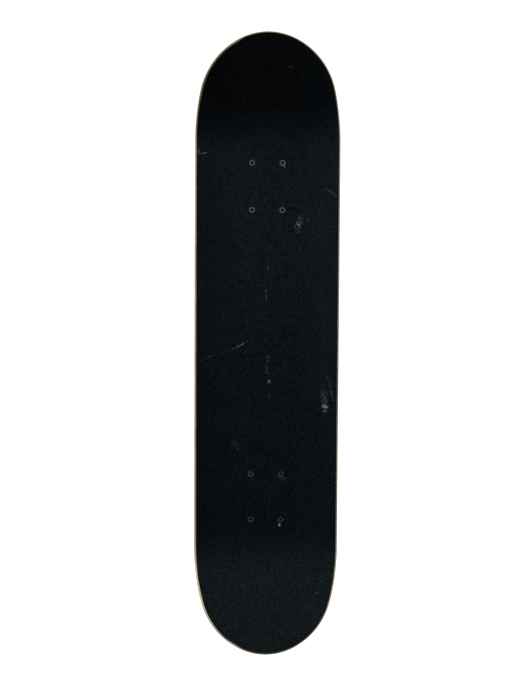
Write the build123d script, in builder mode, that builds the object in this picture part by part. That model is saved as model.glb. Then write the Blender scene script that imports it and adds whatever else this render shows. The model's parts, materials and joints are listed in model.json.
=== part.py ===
from build123d import *
import os
from math import cos, radians, sin, sqrt

os.makedirs("parts", exist_ok=True)

# A complete street skateboard in millimetres.
# +X runs to the nose, +Y to the left, +Z up, and the wheels stand on z = 0.

# Deck, from the photo: outline, bolt pattern and wheelbase.
deck_length = 818.0
deck_width = 197.2
deck_thickness = 10.8
wheelbase = 362.0
wheelbase_shift = -4.2
bolt_pitch_x = 63.5
bolt_pitch_y = 41.3
nose_tip_radius = 91.5
nose_tip_sweep = 71.6
tail_tip_radius = 93.0
tail_tip_sweep = 75.2

# Deck, side view and cross-section.
kick_angle = 21.0
kick_radius = 150.0
nose_bend_past_bolts = 18.0
tail_bend_past_bolts = 26.0
concave_flat = 76.0
concave_rise = 8.0
top_edge_radius = 1.8
bottom_edge_radius = 3.6

# Spare stuff past the outline, trimmed off when the outline is cut.
kick_spare = 140.0
concave_spare = 9.0
outline_cut_height = 250.0

# Grip sheet.
grip_thickness = 0.9
grip_inset = 2.8
grip_hole_radius = 4.6

# Mounting bolts and lock nuts.
bolt_radius = 2.4
bolt_length = 25.4
bolt_head_radius = 4.4
bolt_head_rim = 0.4
bolt_head_below_grip = 0.2
bolt_sink_gap = 0.02
bolt_socket_across = 3.2
bolt_socket_depth = 1.9
bolt_tip_chamfer = 0.6
bolt_hole_radius = 2.7
lock_nut_across = 9.5
lock_nut_height = 5.8
lock_nut_hex_share = 0.62
lock_nut_round = 0.8
collar_step = 0.25

# Wheels, axle and truck stance.
wheel_radius = 26.0
wheel_width = 31.0
wheel_bore_radius = 9.4
wheel_hub_radius = 13.2
wheel_side_inner = 16.6
wheel_side_outer = 19.2
wheel_shoulder = (24.0, 13.0)
wheel_tread_half = 8.0
wheel_track = 154.0
truck_height = 53.0
axle_outboard_of_bolts = 8.0
axle_radius = 3.97
axle_length = 193.7
axle_chamfer = 0.8
axle_bore_gap = 0.02
axle_nut_across = 12.7
axle_nut_height = 6.4
speed_washer_radius = 6.2
speed_washer_thickness = 1.0
washer_gap = 0.1

# Ball bearings, two to a wheel.
bearing_bore = 4.0
bearing_radius = 11.0
bearing_width = 7.0
bearing_offset = 8.5
inner_land_radius = 6.05
outer_land_radius = 9.0
ball_radius = 1.984
ball_pitch_radius = 7.5
ball_count = 7
race_radius = 2.06
shield_recess_radius = 9.6
shield_recess_depth = 0.7
shield_inner_radius = 6.4
shield_sheet = 0.36
shield_below_face = 0.48
cage_wall = 1.3
cage_width = 2.8
cage_offset = 1.2
cage_gap = 0.08
spacer_radius = 5.1
spacer_gap = 0.05

# Truck, with +X inboard and the axle at x = 0.
plate_length = 88.0
plate_width = 57.0
plate_thickness = 6.5
plate_corner = 9.0
plate_edge_round = 1.6
spine_points = [(-20.0, 74.5), (-11.0, 66.5), (8.0, 64.0), (29.0, 67.5), (41.0, 74.5)]
spine_width = 12.0
gusset_x = 6.0
gusset_width = 5.0
gusset_points = [(-25.0, 74.5), (-13.0, 66.0), (13.0, 66.0), (25.0, 74.5)]
ring_x = 17.0
ring_z = 45.0
kingpin_lean = 22.0
kingpin_radius = 4.76
kingpin_head_across = 14.0
kingpin_head_height = 6.0
kingpin_tip_chamfer = 0.9
kingpin_gap = 0.04
kingpin_nut_across = 14.3
kingpin_nut_hex = 5.6
kingpin_nut_collar = 2.8
pivot_x = -20.0
pivot_z = 66.0
pivot_lean = 34.3
pivot_ball_radius = 5.8
ring_radius = 17.0
ring_half = 5.0
ring_edge_round = 1.5
seat_half = 2.5
seat_radius = 12.2
ring_hole_radius = 8.6
boss_height = 17.0
boss_metal = 6.0
boss_radius = 14.0
boss_run = 24.0
boss_draft = 8.0
boss_pocket_radius = 9.2
cast_edge_round = 1.0
housing_radius = 11.5
cup_radius = 8.0
cup_mouth = 7.0
cup_depth = 8.0
cup_flange = 1.4
cup_lip = 1.6
cup_floor_chamfer = 1.5
cup_gap = 0.06
cup_flare = 1.2
neck_radius = 5.0
post_points = [(8.2, -27.0), (7.4, -16.0), (5.2, -7.5)]

# Hanger beam, as stations out from the middle: y, radius round the axle, then x, z and radius of the top.
hanger_half_width = 64.0
beam_stations = [
    (0.0, 10.0, -4.0, 42.0, 8.0),
    (16.0, 9.8, -3.4, 39.5, 7.6),
    (40.0, 9.0, -1.4, 30.5, 7.6),
    (61.0, 8.5, -0.2, 26.7, 8.2),
]
beam_end_cone = 1.0
axle_collar_radius = 7.2
wing_spots = [(-21.0, 36.0), (-21.0, -36.0)]
wing_tip_radius = 4.5
wing_below = 3.6
wing_thickness = 6.4
wing_edge_round = 1.6

# Stations along the kingpin from the middle of the hanger's ring, up positive.
boardside_top = 15.5
roadside_bottom = -14.0
nut_top = -15.5
kingpin_end = -26.5
bushing_radius = 11.5
bushing_neck_radius = 8.3
bushing_bore = 4.95
bushing_neck_end = 0.3
roadside_small_radius = 9.0
boardside_washer_radius = 12.5
roadside_washer_radius = 10.6
washer_lip = 1.4
washer_lip_wall = 0.85

# Heights and places that follow from the driving dimensions.
axle_z = wheel_radius
deck_bottom_z = axle_z + truck_height
deck_top_z = deck_bottom_z + deck_thickness
grip_top_z = deck_top_z + grip_thickness
half_length = deck_length / 2
half_width = deck_width / 2
outer_bolt_reach = wheelbase / 2 + bolt_pitch_x
nose_bend_x = wheelbase_shift + outer_bolt_reach + nose_bend_past_bolts
tail_bend_x = wheelbase_shift - outer_bolt_reach - tail_bend_past_bolts
pattern_reach = (wheelbase + bolt_pitch_x) / 2
front_axle_x = wheelbase_shift + pattern_reach + axle_outboard_of_bolts
rear_axle_x = wheelbase_shift - pattern_reach - axle_outboard_of_bolts
bolt_top_z = grip_top_z - bolt_head_below_grip
bolt_sink_radius = bolt_head_radius - (bolt_top_z - bolt_head_rim - deck_top_z) + bolt_sink_gap
concave_run = half_width - concave_flat / 2
concave_radius = (concave_run**2 + concave_rise**2) / (2 * concave_rise)
plate_bottom_z = deck_bottom_z - plate_thickness
cup_bore = pivot_ball_radius + cup_gap
neck_end = -sqrt(pivot_ball_radius**2 - neck_radius**2)
hub_half = bearing_offset + bearing_width / 2
washer_outer_y = wheel_track / 2 + hub_half
nut_inner_y = washer_outer_y + speed_washer_thickness

ring_plane = Plane(
    origin=(ring_x, 0, ring_z),
    x_dir=(cos(radians(kingpin_lean)), 0, sin(radians(kingpin_lean))),
    z_dir=(-sin(radians(kingpin_lean)), 0, cos(radians(kingpin_lean))),
)
pivot_plane = Plane(
    origin=(pivot_x, 0, pivot_z),
    x_dir=(cos(radians(pivot_lean)), 0, sin(radians(pivot_lean))),
    z_dir=(-sin(radians(pivot_lean)), 0, cos(radians(pivot_lean))),
)
post_plane = Plane(
    origin=(pivot_x, 0, pivot_z),
    x_dir=(cos(radians(pivot_lean)), 0, sin(radians(pivot_lean))),
    z_dir=(0, -1, 0),
)
pivot_axis = Axis(pivot_plane.origin, pivot_plane.z_dir)
ring_side_plane = Plane(origin=ring_plane.origin, x_dir=ring_plane.x_dir, z_dir=(0, -1, 0))
ring_axis = Axis(ring_plane.origin, ring_plane.z_dir)
side_plane = Plane(origin=(0, 0, 0), x_dir=(1, 0, 0), z_dir=(0, -1, 0))
axle_plane = Plane(origin=(0, 0, axle_z), x_dir=(1, 0, 0), z_dir=(0, 1, 0))
truck_places = {
    "front": Location((front_axle_x, 0, 0), (0, 0, 180)),
    "rear": Location((rear_axle_x, 0, 0)),
}
wheel_places = {
    "front_left": Location((front_axle_x, wheel_track / 2, axle_z)),
    "front_right": Location((front_axle_x, -wheel_track / 2, axle_z)),
    "rear_left": Location((rear_axle_x, wheel_track / 2, axle_z)),
    "rear_right": Location((rear_axle_x, -wheel_track / 2, axle_z)),
}
bolt_holes_in_truck = [
    (axle_outboard_of_bolts + sx * bolt_pitch_x / 2, sy * bolt_pitch_y / 2)
    for sx in (-1, 1)
    for sy in (-1, 1)
]
bolt_holes = [
    (wheelbase_shift + end * (wheelbase / 2 + step), side * bolt_pitch_y / 2)
    for end in (-1, 1)
    for step in (0, bolt_pitch_x)
    for side in (-1, 1)
]


def mirror_y(point):
    return (point[0], -point[1])


def save(part, name):
    part.label = name
    export_step(part, f"parts/{name}.step")


def save_placed(piece, places, name):
    for where, place in places.items():
        with BuildPart() as placed:
            with Locations(place):
                add(piece.part)
        save(placed.part, f"{where}_{name}")


# One end of the outline: a tip arc, then a tangent shoulder arc that ends on the straight side.
def outline_end(tip_x, facing, radius, sweep, half):
    turn = radians(sweep)
    shoulder = (half - radius * sin(turn)) / (1 - sin(turn))
    side_at = radius + (shoulder - radius) * cos(turn)
    middle = (turn + radians(90)) / 2
    tip_end = (tip_x - facing * radius * (1 - cos(turn)), radius * sin(turn))
    shoulder_mid = (
        tip_x - facing * (side_at - shoulder * cos(middle)),
        half - shoulder * (1 - sin(middle)),
    )
    return tip_end, shoulder_mid, (tip_x - facing * side_at, half)


def outline(inset):
    half = half_width - inset
    nose_x = half_length - inset
    tail_x = inset - half_length
    nose_a, nose_m, nose_e = outline_end(nose_x, 1, nose_tip_radius - inset, nose_tip_sweep, half)
    tail_a, tail_m, tail_e = outline_end(tail_x, -1, tail_tip_radius - inset, tail_tip_sweep, half)
    with BuildSketch() as shape:
        with BuildLine():
            ThreePointArc(mirror_y(nose_a), (nose_x, 0), nose_a)
            ThreePointArc(nose_a, nose_m, nose_e)
            Line(nose_e, tail_e)
            ThreePointArc(tail_e, tail_m, tail_a)
            ThreePointArc(tail_a, (tail_x, 0), mirror_y(tail_a))
            ThreePointArc(mirror_y(tail_a), mirror_y(tail_m), mirror_y(tail_e))
            Line(mirror_y(tail_e), mirror_y(nose_e))
            ThreePointArc(mirror_y(nose_e), mirror_y(nose_m), mirror_y(nose_a))
        make_face()
    return shape.sketch


# The bend seen from the side: tail kick, flat, nose kick, drawn along the top of the ply.
def bend_path():
    turn = radians(kick_angle)
    run = kick_radius * sin(turn)
    lift = kick_radius * (1 - cos(turn))
    tail_up = (tail_bend_x - run, deck_top_z + lift)
    nose_up = (nose_bend_x + run, deck_top_z + lift)
    with BuildLine(Plane.XZ) as path:
        Line((tail_up[0] - kick_spare * cos(turn), tail_up[1] + kick_spare * sin(turn)), tail_up)
        RadiusArc(tail_up, (tail_bend_x, deck_top_z), -kick_radius)
        Line((tail_bend_x, deck_top_z), (nose_bend_x, deck_top_z))
        RadiusArc((nose_bend_x, deck_top_z), nose_up, -kick_radius)
        Line(nose_up, (nose_up[0] + kick_spare * cos(turn), nose_up[1] + kick_spare * sin(turn)))
    return path.wires()[0]


# The concave seen from the end: a flat middle strip and two arcs up to the rails.
def concave_points(offset):
    radius = concave_radius - offset
    turn = (half_width + concave_spare - concave_flat / 2) / concave_radius
    flat = concave_flat / 2
    return [
        (flat, offset),
        (flat + radius * sin(turn / 2), concave_radius - radius * cos(turn / 2)),
        (flat + radius * sin(turn), concave_radius - radius * cos(turn)),
    ]


def moulded_slab(low, high, inset):
    path = bend_path()
    across = Plane(origin=path @ 0, x_dir=(0, 1, 0), z_dir=path % 0)
    upper = concave_points(high)
    lower = concave_points(low)
    upper_other = [(-y, z) for y, z in upper]
    lower_other = [(-y, z) for y, z in lower]
    with BuildSketch(across) as section:
        with BuildLine():
            Line(upper_other[0], upper[0])
            ThreePointArc(*upper)
            Line(upper[2], lower[2])
            ThreePointArc(*reversed(lower))
            Line(lower[0], lower_other[0])
            ThreePointArc(*lower_other)
            Line(lower_other[2], upper_other[2])
            ThreePointArc(*reversed(upper_other))
        make_face()
    with BuildPart() as slab:
        sweep(sections=section.sketch, path=path)
        extrude(outline(inset), amount=outline_cut_height, mode=Mode.INTERSECT)
    return slab.part


# Height of the ply's top at a point, to tell the upper rim from the lower one.
def top_height(x, y):
    turn = radians(kick_angle)
    past = max(x - nose_bend_x, tail_bend_x - x, 0.0)
    run = kick_radius * sin(turn)
    if past < run:
        lift = kick_radius - sqrt(kick_radius**2 - past**2)
    else:
        lift = kick_radius * (1 - cos(turn)) + (past - run) * sin(turn) / cos(turn)
    side = max(abs(y) - concave_flat / 2, 0.0)
    return deck_top_z + lift + concave_radius - sqrt(concave_radius**2 - side**2)


def is_upper(edge):
    middle = edge @ 0.5
    return middle.Z > top_height(middle.X, middle.Y) - deck_thickness / 2


def rim_edges(part):
    walls = part.faces().filter_by(lambda f: abs(f.normal_at().Z) < 0.01)
    return walls.edges().filter_by(lambda e: abs((e % 0.5).Z) < 0.95)


with BuildPart() as deck:
    add(moulded_slab(-deck_thickness, 0.0, 0.0))
    fillet(rim_edges(deck.part).filter_by(is_upper), radius=top_edge_radius)
    fillet(rim_edges(deck.part).filter_by(lambda e: not is_upper(e)), radius=bottom_edge_radius)
    with Locations(*[Pos(x, y, deck_top_z) for x, y in bolt_holes]):
        CounterSinkHole(radius=bolt_hole_radius, counter_sink_radius=bolt_sink_radius)
save(deck.part, "deck")

with BuildPart() as griptape:
    add(moulded_slab(0.0, grip_thickness, grip_inset))
    with Locations(*[Pos(x, y, grip_top_z) for x, y in bolt_holes]):
        Hole(radius=grip_hole_radius)
save(griptape.part, "griptape")

# Flat-head mounting bolts through grip, deck and baseplate, drawn round the Z axis.
with BuildPart() as one_bolt:
    with BuildSketch(Plane.XZ):
        with BuildLine():
            Polyline(
                (0, bolt_top_z),
                (bolt_head_radius, bolt_top_z),
                (bolt_head_radius, bolt_top_z - bolt_head_rim),
                (bolt_radius, bolt_top_z - bolt_head_rim - bolt_head_radius + bolt_radius),
                (bolt_radius, bolt_top_z - bolt_length + bolt_tip_chamfer),
                (bolt_radius - bolt_tip_chamfer, bolt_top_z - bolt_length),
                (0, bolt_top_z - bolt_length),
                close=True,
            )
        make_face()
    revolve(axis=Axis.Z)
    with BuildSketch(Plane.XY.offset(bolt_top_z)):
        RegularPolygon(radius=bolt_socket_across / 2, side_count=6, major_radius=False)
    extrude(amount=-bolt_socket_depth, mode=Mode.SUBTRACT)

with BuildPart() as mounting_bolts:
    with Locations(*bolt_holes_in_truck):
        add(one_bolt.part)
save_placed(mounting_bolts, truck_places, "mounting_bolts")

with BuildPart() as one_lock_nut:
    with BuildSketch(Plane.XY.offset(plate_bottom_z)):
        RegularPolygon(radius=lock_nut_across / 2, side_count=6, major_radius=False)
        Circle(bolt_radius, mode=Mode.SUBTRACT)
    extrude(amount=-lock_nut_height * lock_nut_hex_share)
    with BuildSketch(Plane.XY.offset(plate_bottom_z - lock_nut_height * lock_nut_hex_share)):
        Circle(lock_nut_across / 2 - collar_step)
        Circle(bolt_radius, mode=Mode.SUBTRACT)
    extrude(amount=-lock_nut_height * (1 - lock_nut_hex_share))
    fillet(one_lock_nut.edges().group_by(Axis.Z)[0].sort_by(SortBy.LENGTH)[-1], radius=lock_nut_round)

with BuildPart() as mounting_nuts:
    with Locations(*bolt_holes_in_truck):
        add(one_lock_nut.part)
save_placed(mounting_nuts, truck_places, "mounting_nuts")

# Baseplate: the drafted kingpin boss and the pivot housing on a plate with a rounded rim,
# tied together by a spine along the truck and a gusset across it.
with BuildPart() as kingpin_boss:
    with BuildSketch(ring_plane.offset(boss_height)):
        Circle(boss_radius)
    extrude(amount=boss_run, taper=-boss_draft)
    fillet(kingpin_boss.edges().filter_by(GeomType.CIRCLE).sort_by(Axis.Z)[0], radius=cast_edge_round)

with BuildPart() as pivot_housing:
    with BuildSketch(pivot_plane.offset(-cup_mouth)):
        Circle(housing_radius)
    extrude(amount=cup_mouth + housing_radius)
    fillet(pivot_housing.edges().filter_by(GeomType.CIRCLE).sort_by(Axis.Z)[0], radius=cast_edge_round)

with BuildPart() as baseplate:
    with BuildSketch(Plane.XY.offset(plate_bottom_z)):
        with Locations((axle_outboard_of_bolts, 0)):
            RectangleRounded(plate_length, plate_width, plate_corner)
    extrude(amount=plate_thickness)
    fillet(baseplate.faces().sort_by(Axis.Z)[0].edges(), radius=plate_edge_round)
    add(kingpin_boss.part)
    add(pivot_housing.part)
    with BuildSketch(side_plane):
        Polygon(*spine_points, align=None)
    extrude(amount=spine_width / 2, both=True)
    with BuildSketch(Plane.YZ.offset(gusset_x)):
        Polygon(*gusset_points, align=None)
    extrude(amount=gusset_width / 2, both=True)
    split(bisect_by=Plane.XY.offset(deck_bottom_z), keep=Keep.BOTTOM)
    with BuildSketch(ring_plane.offset(boss_height)):
        Circle(kingpin_radius + kingpin_gap)
    extrude(amount=boss_metal, mode=Mode.SUBTRACT)
    with BuildSketch(ring_plane.offset(boss_height + boss_metal)):
        Circle(boss_pocket_radius)
    extrude(amount=boss_run, mode=Mode.SUBTRACT)
    with BuildSketch(pivot_plane.offset(-cup_mouth)):
        Circle(cup_radius)
    extrude(amount=cup_mouth + cup_depth, mode=Mode.SUBTRACT)
    with BuildSketch(pivot_plane.offset(-cup_mouth - cup_flange)):
        Circle(cup_radius + cup_lip + cup_gap)
    extrude(amount=cup_flange, mode=Mode.SUBTRACT)
    with Locations(*[Pos(x, y, deck_bottom_z) for x, y in bolt_holes_in_truck]):
        Hole(radius=bolt_hole_radius)
save_placed(baseplate, truck_places, "baseplate")

# Pivot cup: a thimble with a round bottom that the hanger's pivot turns in, flared at the mouth.
with BuildPart() as pivot_cup:
    with BuildSketch(post_plane):
        with BuildLine():
            Polyline(
                (0, cup_bore),
                (0, cup_depth),
                (cup_radius - cup_floor_chamfer, cup_depth),
                (cup_radius, cup_depth - cup_floor_chamfer),
                (cup_radius, -cup_mouth),
                (cup_radius + cup_lip, -cup_mouth),
                (cup_radius + cup_lip, -cup_mouth - cup_flange),
                (cup_bore + cup_flare, -cup_mouth - cup_flange),
                (cup_bore, 0),
            )
            CenterArc((0, 0), cup_bore, 0, 90)
        make_face()
    revolve(axis=pivot_axis)
save_placed(pivot_cup, truck_places, "pivot_cup")

# Kingpin: hex head in the baseplate's pocket, shank down through bushings and hanger.
with BuildPart() as kingpin:
    with BuildSketch(ring_plane.offset(boss_height + boss_metal)):
        RegularPolygon(radius=kingpin_head_across / 2, side_count=6, major_radius=False)
    extrude(amount=kingpin_head_height)
    with BuildSketch(ring_plane.offset(kingpin_end)):
        Circle(kingpin_radius)
    extrude(amount=boss_height + boss_metal - kingpin_end)
    chamfer(kingpin.edges().filter_by(GeomType.CIRCLE).sort_by(Axis.Z)[0], length=kingpin_tip_chamfer)
save_placed(kingpin, truck_places, "kingpin")

with BuildPart() as kingpin_nut:
    with BuildSketch(ring_plane.offset(nut_top)):
        RegularPolygon(radius=kingpin_nut_across / 2, side_count=6, major_radius=False)
        Circle(kingpin_radius, mode=Mode.SUBTRACT)
    extrude(amount=-kingpin_nut_hex)
    with BuildSketch(ring_plane.offset(nut_top - kingpin_nut_hex)):
        Circle(kingpin_nut_across / 2 - collar_step)
        Circle(kingpin_radius, mode=Mode.SUBTRACT)
    extrude(amount=-kingpin_nut_collar)
save_placed(kingpin_nut, truck_places, "kingpin_nut")

# Bushings: a barrel on the board side, a cone on the road side, each with a neck in the ring's hole.
with BuildPart() as boardside_bushing:
    with BuildSketch(ring_plane.offset(seat_half)):
        Circle(bushing_radius)
    extrude(amount=boardside_top - seat_half)
    with BuildSketch(ring_plane.offset(bushing_neck_end)):
        Circle(bushing_neck_radius)
    extrude(amount=seat_half - bushing_neck_end)
    with BuildSketch(ring_plane):
        Circle(bushing_bore)
    extrude(amount=boardside_top, mode=Mode.SUBTRACT)
save_placed(boardside_bushing, truck_places, "boardside_bushing")

with BuildPart() as roadside_bushing:
    with BuildSketch(ring_plane.offset(-seat_half)):
        Circle(bushing_radius)
    with BuildSketch(ring_plane.offset(roadside_bottom)):
        Circle(roadside_small_radius)
    loft()
    with BuildSketch(ring_plane.offset(-seat_half)):
        Circle(bushing_neck_radius)
    extrude(amount=seat_half - bushing_neck_end)
    with BuildSketch(ring_plane):
        Circle(bushing_bore)
    extrude(amount=roadside_bottom, mode=Mode.SUBTRACT)
save_placed(roadside_bushing, truck_places, "roadside_bushing")


# Cupped washers: a disc with a lip that holds the bushing's rim, turned about the kingpin.
def cupped_washer(radius, outer_face, inner_face):
    lip_end = inner_face + washer_lip * (1 if inner_face > outer_face else -1)
    bore = kingpin_radius + washer_gap
    with BuildPart() as washer:
        with BuildSketch(ring_side_plane):
            with BuildLine():
                Polyline(
                    (bore, outer_face),
                    (radius, outer_face),
                    (radius, lip_end),
                    (radius - washer_lip_wall, lip_end),
                    (radius - washer_lip_wall, inner_face),
                    (bore, inner_face),
                    close=True,
                )
            make_face()
        revolve(axis=ring_axis)
    return washer


boardside_washer = cupped_washer(boardside_washer_radius, boss_height, boardside_top)
save_placed(boardside_washer, truck_places, "boardside_washer")
roadside_washer = cupped_washer(roadside_washer_radius, nut_top, roadside_bottom)
save_placed(roadside_washer, truck_places, "roadside_washer")


# Hanger: the axle beam tapers from a tall middle to round ends with turned collars. A ring holds the
# bushings, a wing joins ring and beam, and the pivot post reaches up to the cup.
def beam_section(y, low_radius, high_x, high_z, high_radius):
    with BuildSketch(Plane(origin=(0, y, 0), x_dir=(1, 0, 0), z_dir=(0, -1, 0))) as shape:
        with Locations((0, axle_z)):
            Circle(low_radius)
        with Locations((high_x, high_z)):
            Circle(high_radius)
        make_hull()
    return shape.sketch


with BuildPart() as half_beam:
    loft([beam_section(*station) for station in beam_stations])
    with BuildSketch(axle_plane.offset(beam_stations[-1][0])):
        Circle(beam_stations[-1][1])
    extrude(amount=beam_end_cone, taper=45)
    with BuildSketch(axle_plane):
        Circle(axle_collar_radius)
    extrude(amount=hanger_half_width)

with BuildPart() as ring:
    with BuildSketch(ring_plane.offset(-ring_half)):
        Circle(ring_radius)
    extrude(amount=2 * ring_half)
    fillet(ring.edges().filter_by(GeomType.CIRCLE), radius=ring_edge_round)

with BuildPart() as wing:
    with BuildSketch(ring_plane.offset(-wing_below)):
        Circle(ring_radius - ring_edge_round)
        with Locations(*wing_spots):
            Circle(wing_tip_radius)
        make_hull()
    extrude(amount=wing_thickness)
    flat_faces = wing.faces().filter_by(GeomType.PLANE).filter_by(ring_axis)
    fillet(flat_faces.edges(), radius=wing_edge_round)

with BuildPart() as pivot_post:
    with BuildSketch(post_plane):
        with BuildLine():
            Polyline((0, pivot_ball_radius), (0, post_points[0][1]), *post_points, (neck_radius, neck_end))
            RadiusArc((neck_radius, neck_end), (0, pivot_ball_radius), -pivot_ball_radius)
        make_face()
    revolve(axis=pivot_axis)

with BuildPart() as hanger:
    add(half_beam.part)
    mirror(half_beam.part, about=Plane.XZ)
    add(ring.part)
    add(wing.part)
    add(pivot_post.part)
    for facing in (-1, 1):
        with BuildSketch(ring_plane.offset(facing * seat_half)):
            Circle(seat_radius)
        extrude(amount=facing * ring_radius, mode=Mode.SUBTRACT)
    with BuildSketch(ring_plane):
        Circle(ring_hole_radius)
    extrude(amount=ring_half, both=True, mode=Mode.SUBTRACT)
    with BuildSketch(axle_plane):
        Circle(axle_radius + axle_bore_gap)
    extrude(amount=hanger_half_width, both=True, mode=Mode.SUBTRACT)
save_placed(hanger, truck_places, "hanger")

# Axle, pressed through the hanger, with the speed washers and the lock nuts on its ends.
with BuildPart() as axle:
    with BuildSketch(axle_plane):
        Circle(axle_radius)
    extrude(amount=axle_length / 2, both=True)
    chamfer(axle.edges().filter_by(GeomType.CIRCLE), length=axle_chamfer)
save_placed(axle, truck_places, "axle")

with BuildPart() as axle_washers:
    for side in (-1, 1):
        for start in (hanger_half_width, washer_outer_y):
            with BuildSketch(axle_plane.offset(side * start)):
                Circle(speed_washer_radius)
                Circle(axle_radius + washer_gap, mode=Mode.SUBTRACT)
            extrude(amount=side * speed_washer_thickness)
save_placed(axle_washers, truck_places, "axle_washers")

with BuildPart() as axle_nuts:
    for side in (-1, 1):
        with BuildSketch(axle_plane.offset(side * nut_inner_y)):
            RegularPolygon(radius=axle_nut_across / 2, side_count=6, major_radius=False)
            Circle(axle_radius, mode=Mode.SUBTRACT)
        extrude(amount=side * axle_nut_height * lock_nut_hex_share)
        with BuildSketch(axle_plane.offset(side * (nut_inner_y + axle_nut_height * lock_nut_hex_share))):
            Circle(axle_nut_across / 2 - collar_step)
            Circle(axle_radius, mode=Mode.SUBTRACT)
        extrude(amount=side * axle_nut_height * (1 - lock_nut_hex_share))
save_placed(axle_nuts, truck_places, "axle_nuts")

# Wheel: half the profile, radius along X and width along Y, turned about Y.
with BuildPart() as wheel:
    with BuildSketch():
        with BuildLine():
            Polyline(
                (wheel_bore_radius, 0),
                (wheel_bore_radius, hub_half - bearing_width),
                (bearing_radius, hub_half - bearing_width),
                (bearing_radius, hub_half),
                (wheel_hub_radius, hub_half),
                (wheel_side_inner, wheel_width / 2),
                (wheel_side_outer, wheel_width / 2),
            )
            Spline(
                (wheel_side_outer, wheel_width / 2),
                wheel_shoulder,
                (wheel_radius, wheel_tread_half),
                tangents=((1, 0), (0, -1)),
            )
            Polyline((wheel_radius, wheel_tread_half), (wheel_radius, 0), (wheel_bore_radius, 0))
        make_face()
        mirror(about=Plane.XZ)
    revolve(axis=Axis.Y)
save_placed(wheel, wheel_places, "wheel")

# Bearings: both rings share the ball race, a circle about the ball's centre.
bearing_centres = [-bearing_offset, bearing_offset]
half_bearing = bearing_width / 2
shield_recess_width = 2 * (shield_recess_radius - outer_land_radius)
shield_middle_radius = (shield_recess_radius + shield_inner_radius) / 2
shield_depth = half_bearing - shield_below_face

with BuildPart() as bearing_outer_rings:
    for centre in bearing_centres:
        with BuildSketch():
            with Locations(((outer_land_radius + bearing_radius) / 2, centre)):
                Rectangle(bearing_radius - outer_land_radius, bearing_width)
            with Locations((ball_pitch_radius, centre)):
                Circle(race_radius, mode=Mode.SUBTRACT)
            for face in (-1, 1):
                with Locations((outer_land_radius, centre + face * half_bearing)):
                    Rectangle(shield_recess_width, 2 * shield_recess_depth, mode=Mode.SUBTRACT)
        revolve(axis=Axis.Y)
save_placed(bearing_outer_rings, wheel_places, "bearing_outer_rings")

with BuildPart() as bearing_inner_rings:
    for centre in bearing_centres:
        with BuildSketch():
            with Locations(((bearing_bore + inner_land_radius) / 2, centre)):
                Rectangle(inner_land_radius - bearing_bore, bearing_width)
            with Locations((ball_pitch_radius, centre)):
                Circle(race_radius, mode=Mode.SUBTRACT)
        revolve(axis=Axis.Y)
save_placed(bearing_inner_rings, wheel_places, "bearing_inner_rings")

with BuildPart() as bearing_shields:
    for centre in bearing_centres:
        for face in (-1, 1):
            with BuildSketch():
                with Locations((shield_middle_radius, centre + face * shield_depth)):
                    Rectangle(shield_recess_radius - shield_inner_radius, shield_sheet)
            revolve(axis=Axis.Y)
save_placed(bearing_shields, wheel_places, "bearing_shields")

ball_turns = [radians(360 * step / ball_count) for step in range(ball_count)]
ball_spots = [
    Pos(ball_pitch_radius * cos(turn), centre, ball_pitch_radius * sin(turn))
    for centre in bearing_centres
    for turn in ball_turns
]

with BuildPart() as bearing_balls:
    with Locations(*ball_spots):
        Sphere(ball_radius)
save_placed(bearing_balls, wheel_places, "bearing_balls")

# Crown cages: a ring on the outer side of the balls, with a round pocket for each ball.
with BuildPart() as bearing_cages:
    for centre in bearing_centres:
        facing = 1 if centre > 0 else -1
        with BuildSketch():
            with Locations((ball_pitch_radius, centre + facing * cage_offset)):
                Rectangle(cage_wall, cage_width)
        revolve(axis=Axis.Y)
        for turn in ball_turns:
            spoke = Plane(origin=(0, centre, 0), x_dir=(0, 1, 0), z_dir=(cos(turn), 0, sin(turn)))
            with BuildSketch(spoke):
                Circle(ball_radius + cage_gap)
            extrude(amount=outer_land_radius, mode=Mode.SUBTRACT)
save_placed(bearing_cages, wheel_places, "bearing_cages")

with BuildPart() as bearing_spacer:
    with BuildSketch(Plane.XZ.offset(bearing_offset - half_bearing)):
        Circle(spacer_radius)
        Circle(bearing_bore + spacer_gap, mode=Mode.SUBTRACT)
    extrude(amount=-2 * (bearing_offset - half_bearing))
save_placed(bearing_spacer, wheel_places, "bearing_spacer")
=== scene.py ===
import bmesh
import bpy
import json
from math import cos, hypot, pi, radians, sin
from mathutils import Matrix, Vector, noise


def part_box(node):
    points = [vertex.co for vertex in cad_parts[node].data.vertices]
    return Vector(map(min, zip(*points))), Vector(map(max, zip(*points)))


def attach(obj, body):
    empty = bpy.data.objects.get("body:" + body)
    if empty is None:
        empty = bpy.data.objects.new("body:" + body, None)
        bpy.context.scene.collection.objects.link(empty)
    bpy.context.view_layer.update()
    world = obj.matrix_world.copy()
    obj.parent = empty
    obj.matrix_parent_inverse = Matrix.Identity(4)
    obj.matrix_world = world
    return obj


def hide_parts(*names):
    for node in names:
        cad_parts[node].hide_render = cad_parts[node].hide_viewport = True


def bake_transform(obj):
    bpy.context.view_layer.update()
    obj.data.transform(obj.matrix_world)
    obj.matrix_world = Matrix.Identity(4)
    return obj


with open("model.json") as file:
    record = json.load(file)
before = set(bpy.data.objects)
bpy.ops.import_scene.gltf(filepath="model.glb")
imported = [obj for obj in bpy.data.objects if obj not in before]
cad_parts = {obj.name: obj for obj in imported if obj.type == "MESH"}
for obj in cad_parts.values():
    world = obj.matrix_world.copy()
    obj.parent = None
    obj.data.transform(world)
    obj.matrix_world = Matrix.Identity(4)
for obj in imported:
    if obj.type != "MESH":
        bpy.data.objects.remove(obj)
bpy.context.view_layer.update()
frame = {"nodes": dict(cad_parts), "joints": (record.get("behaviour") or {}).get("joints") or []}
nodes = frame["nodes"]
joints = {joint["name"]: joint for joint in frame["joints"]}


# Small helpers for meshes.

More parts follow.
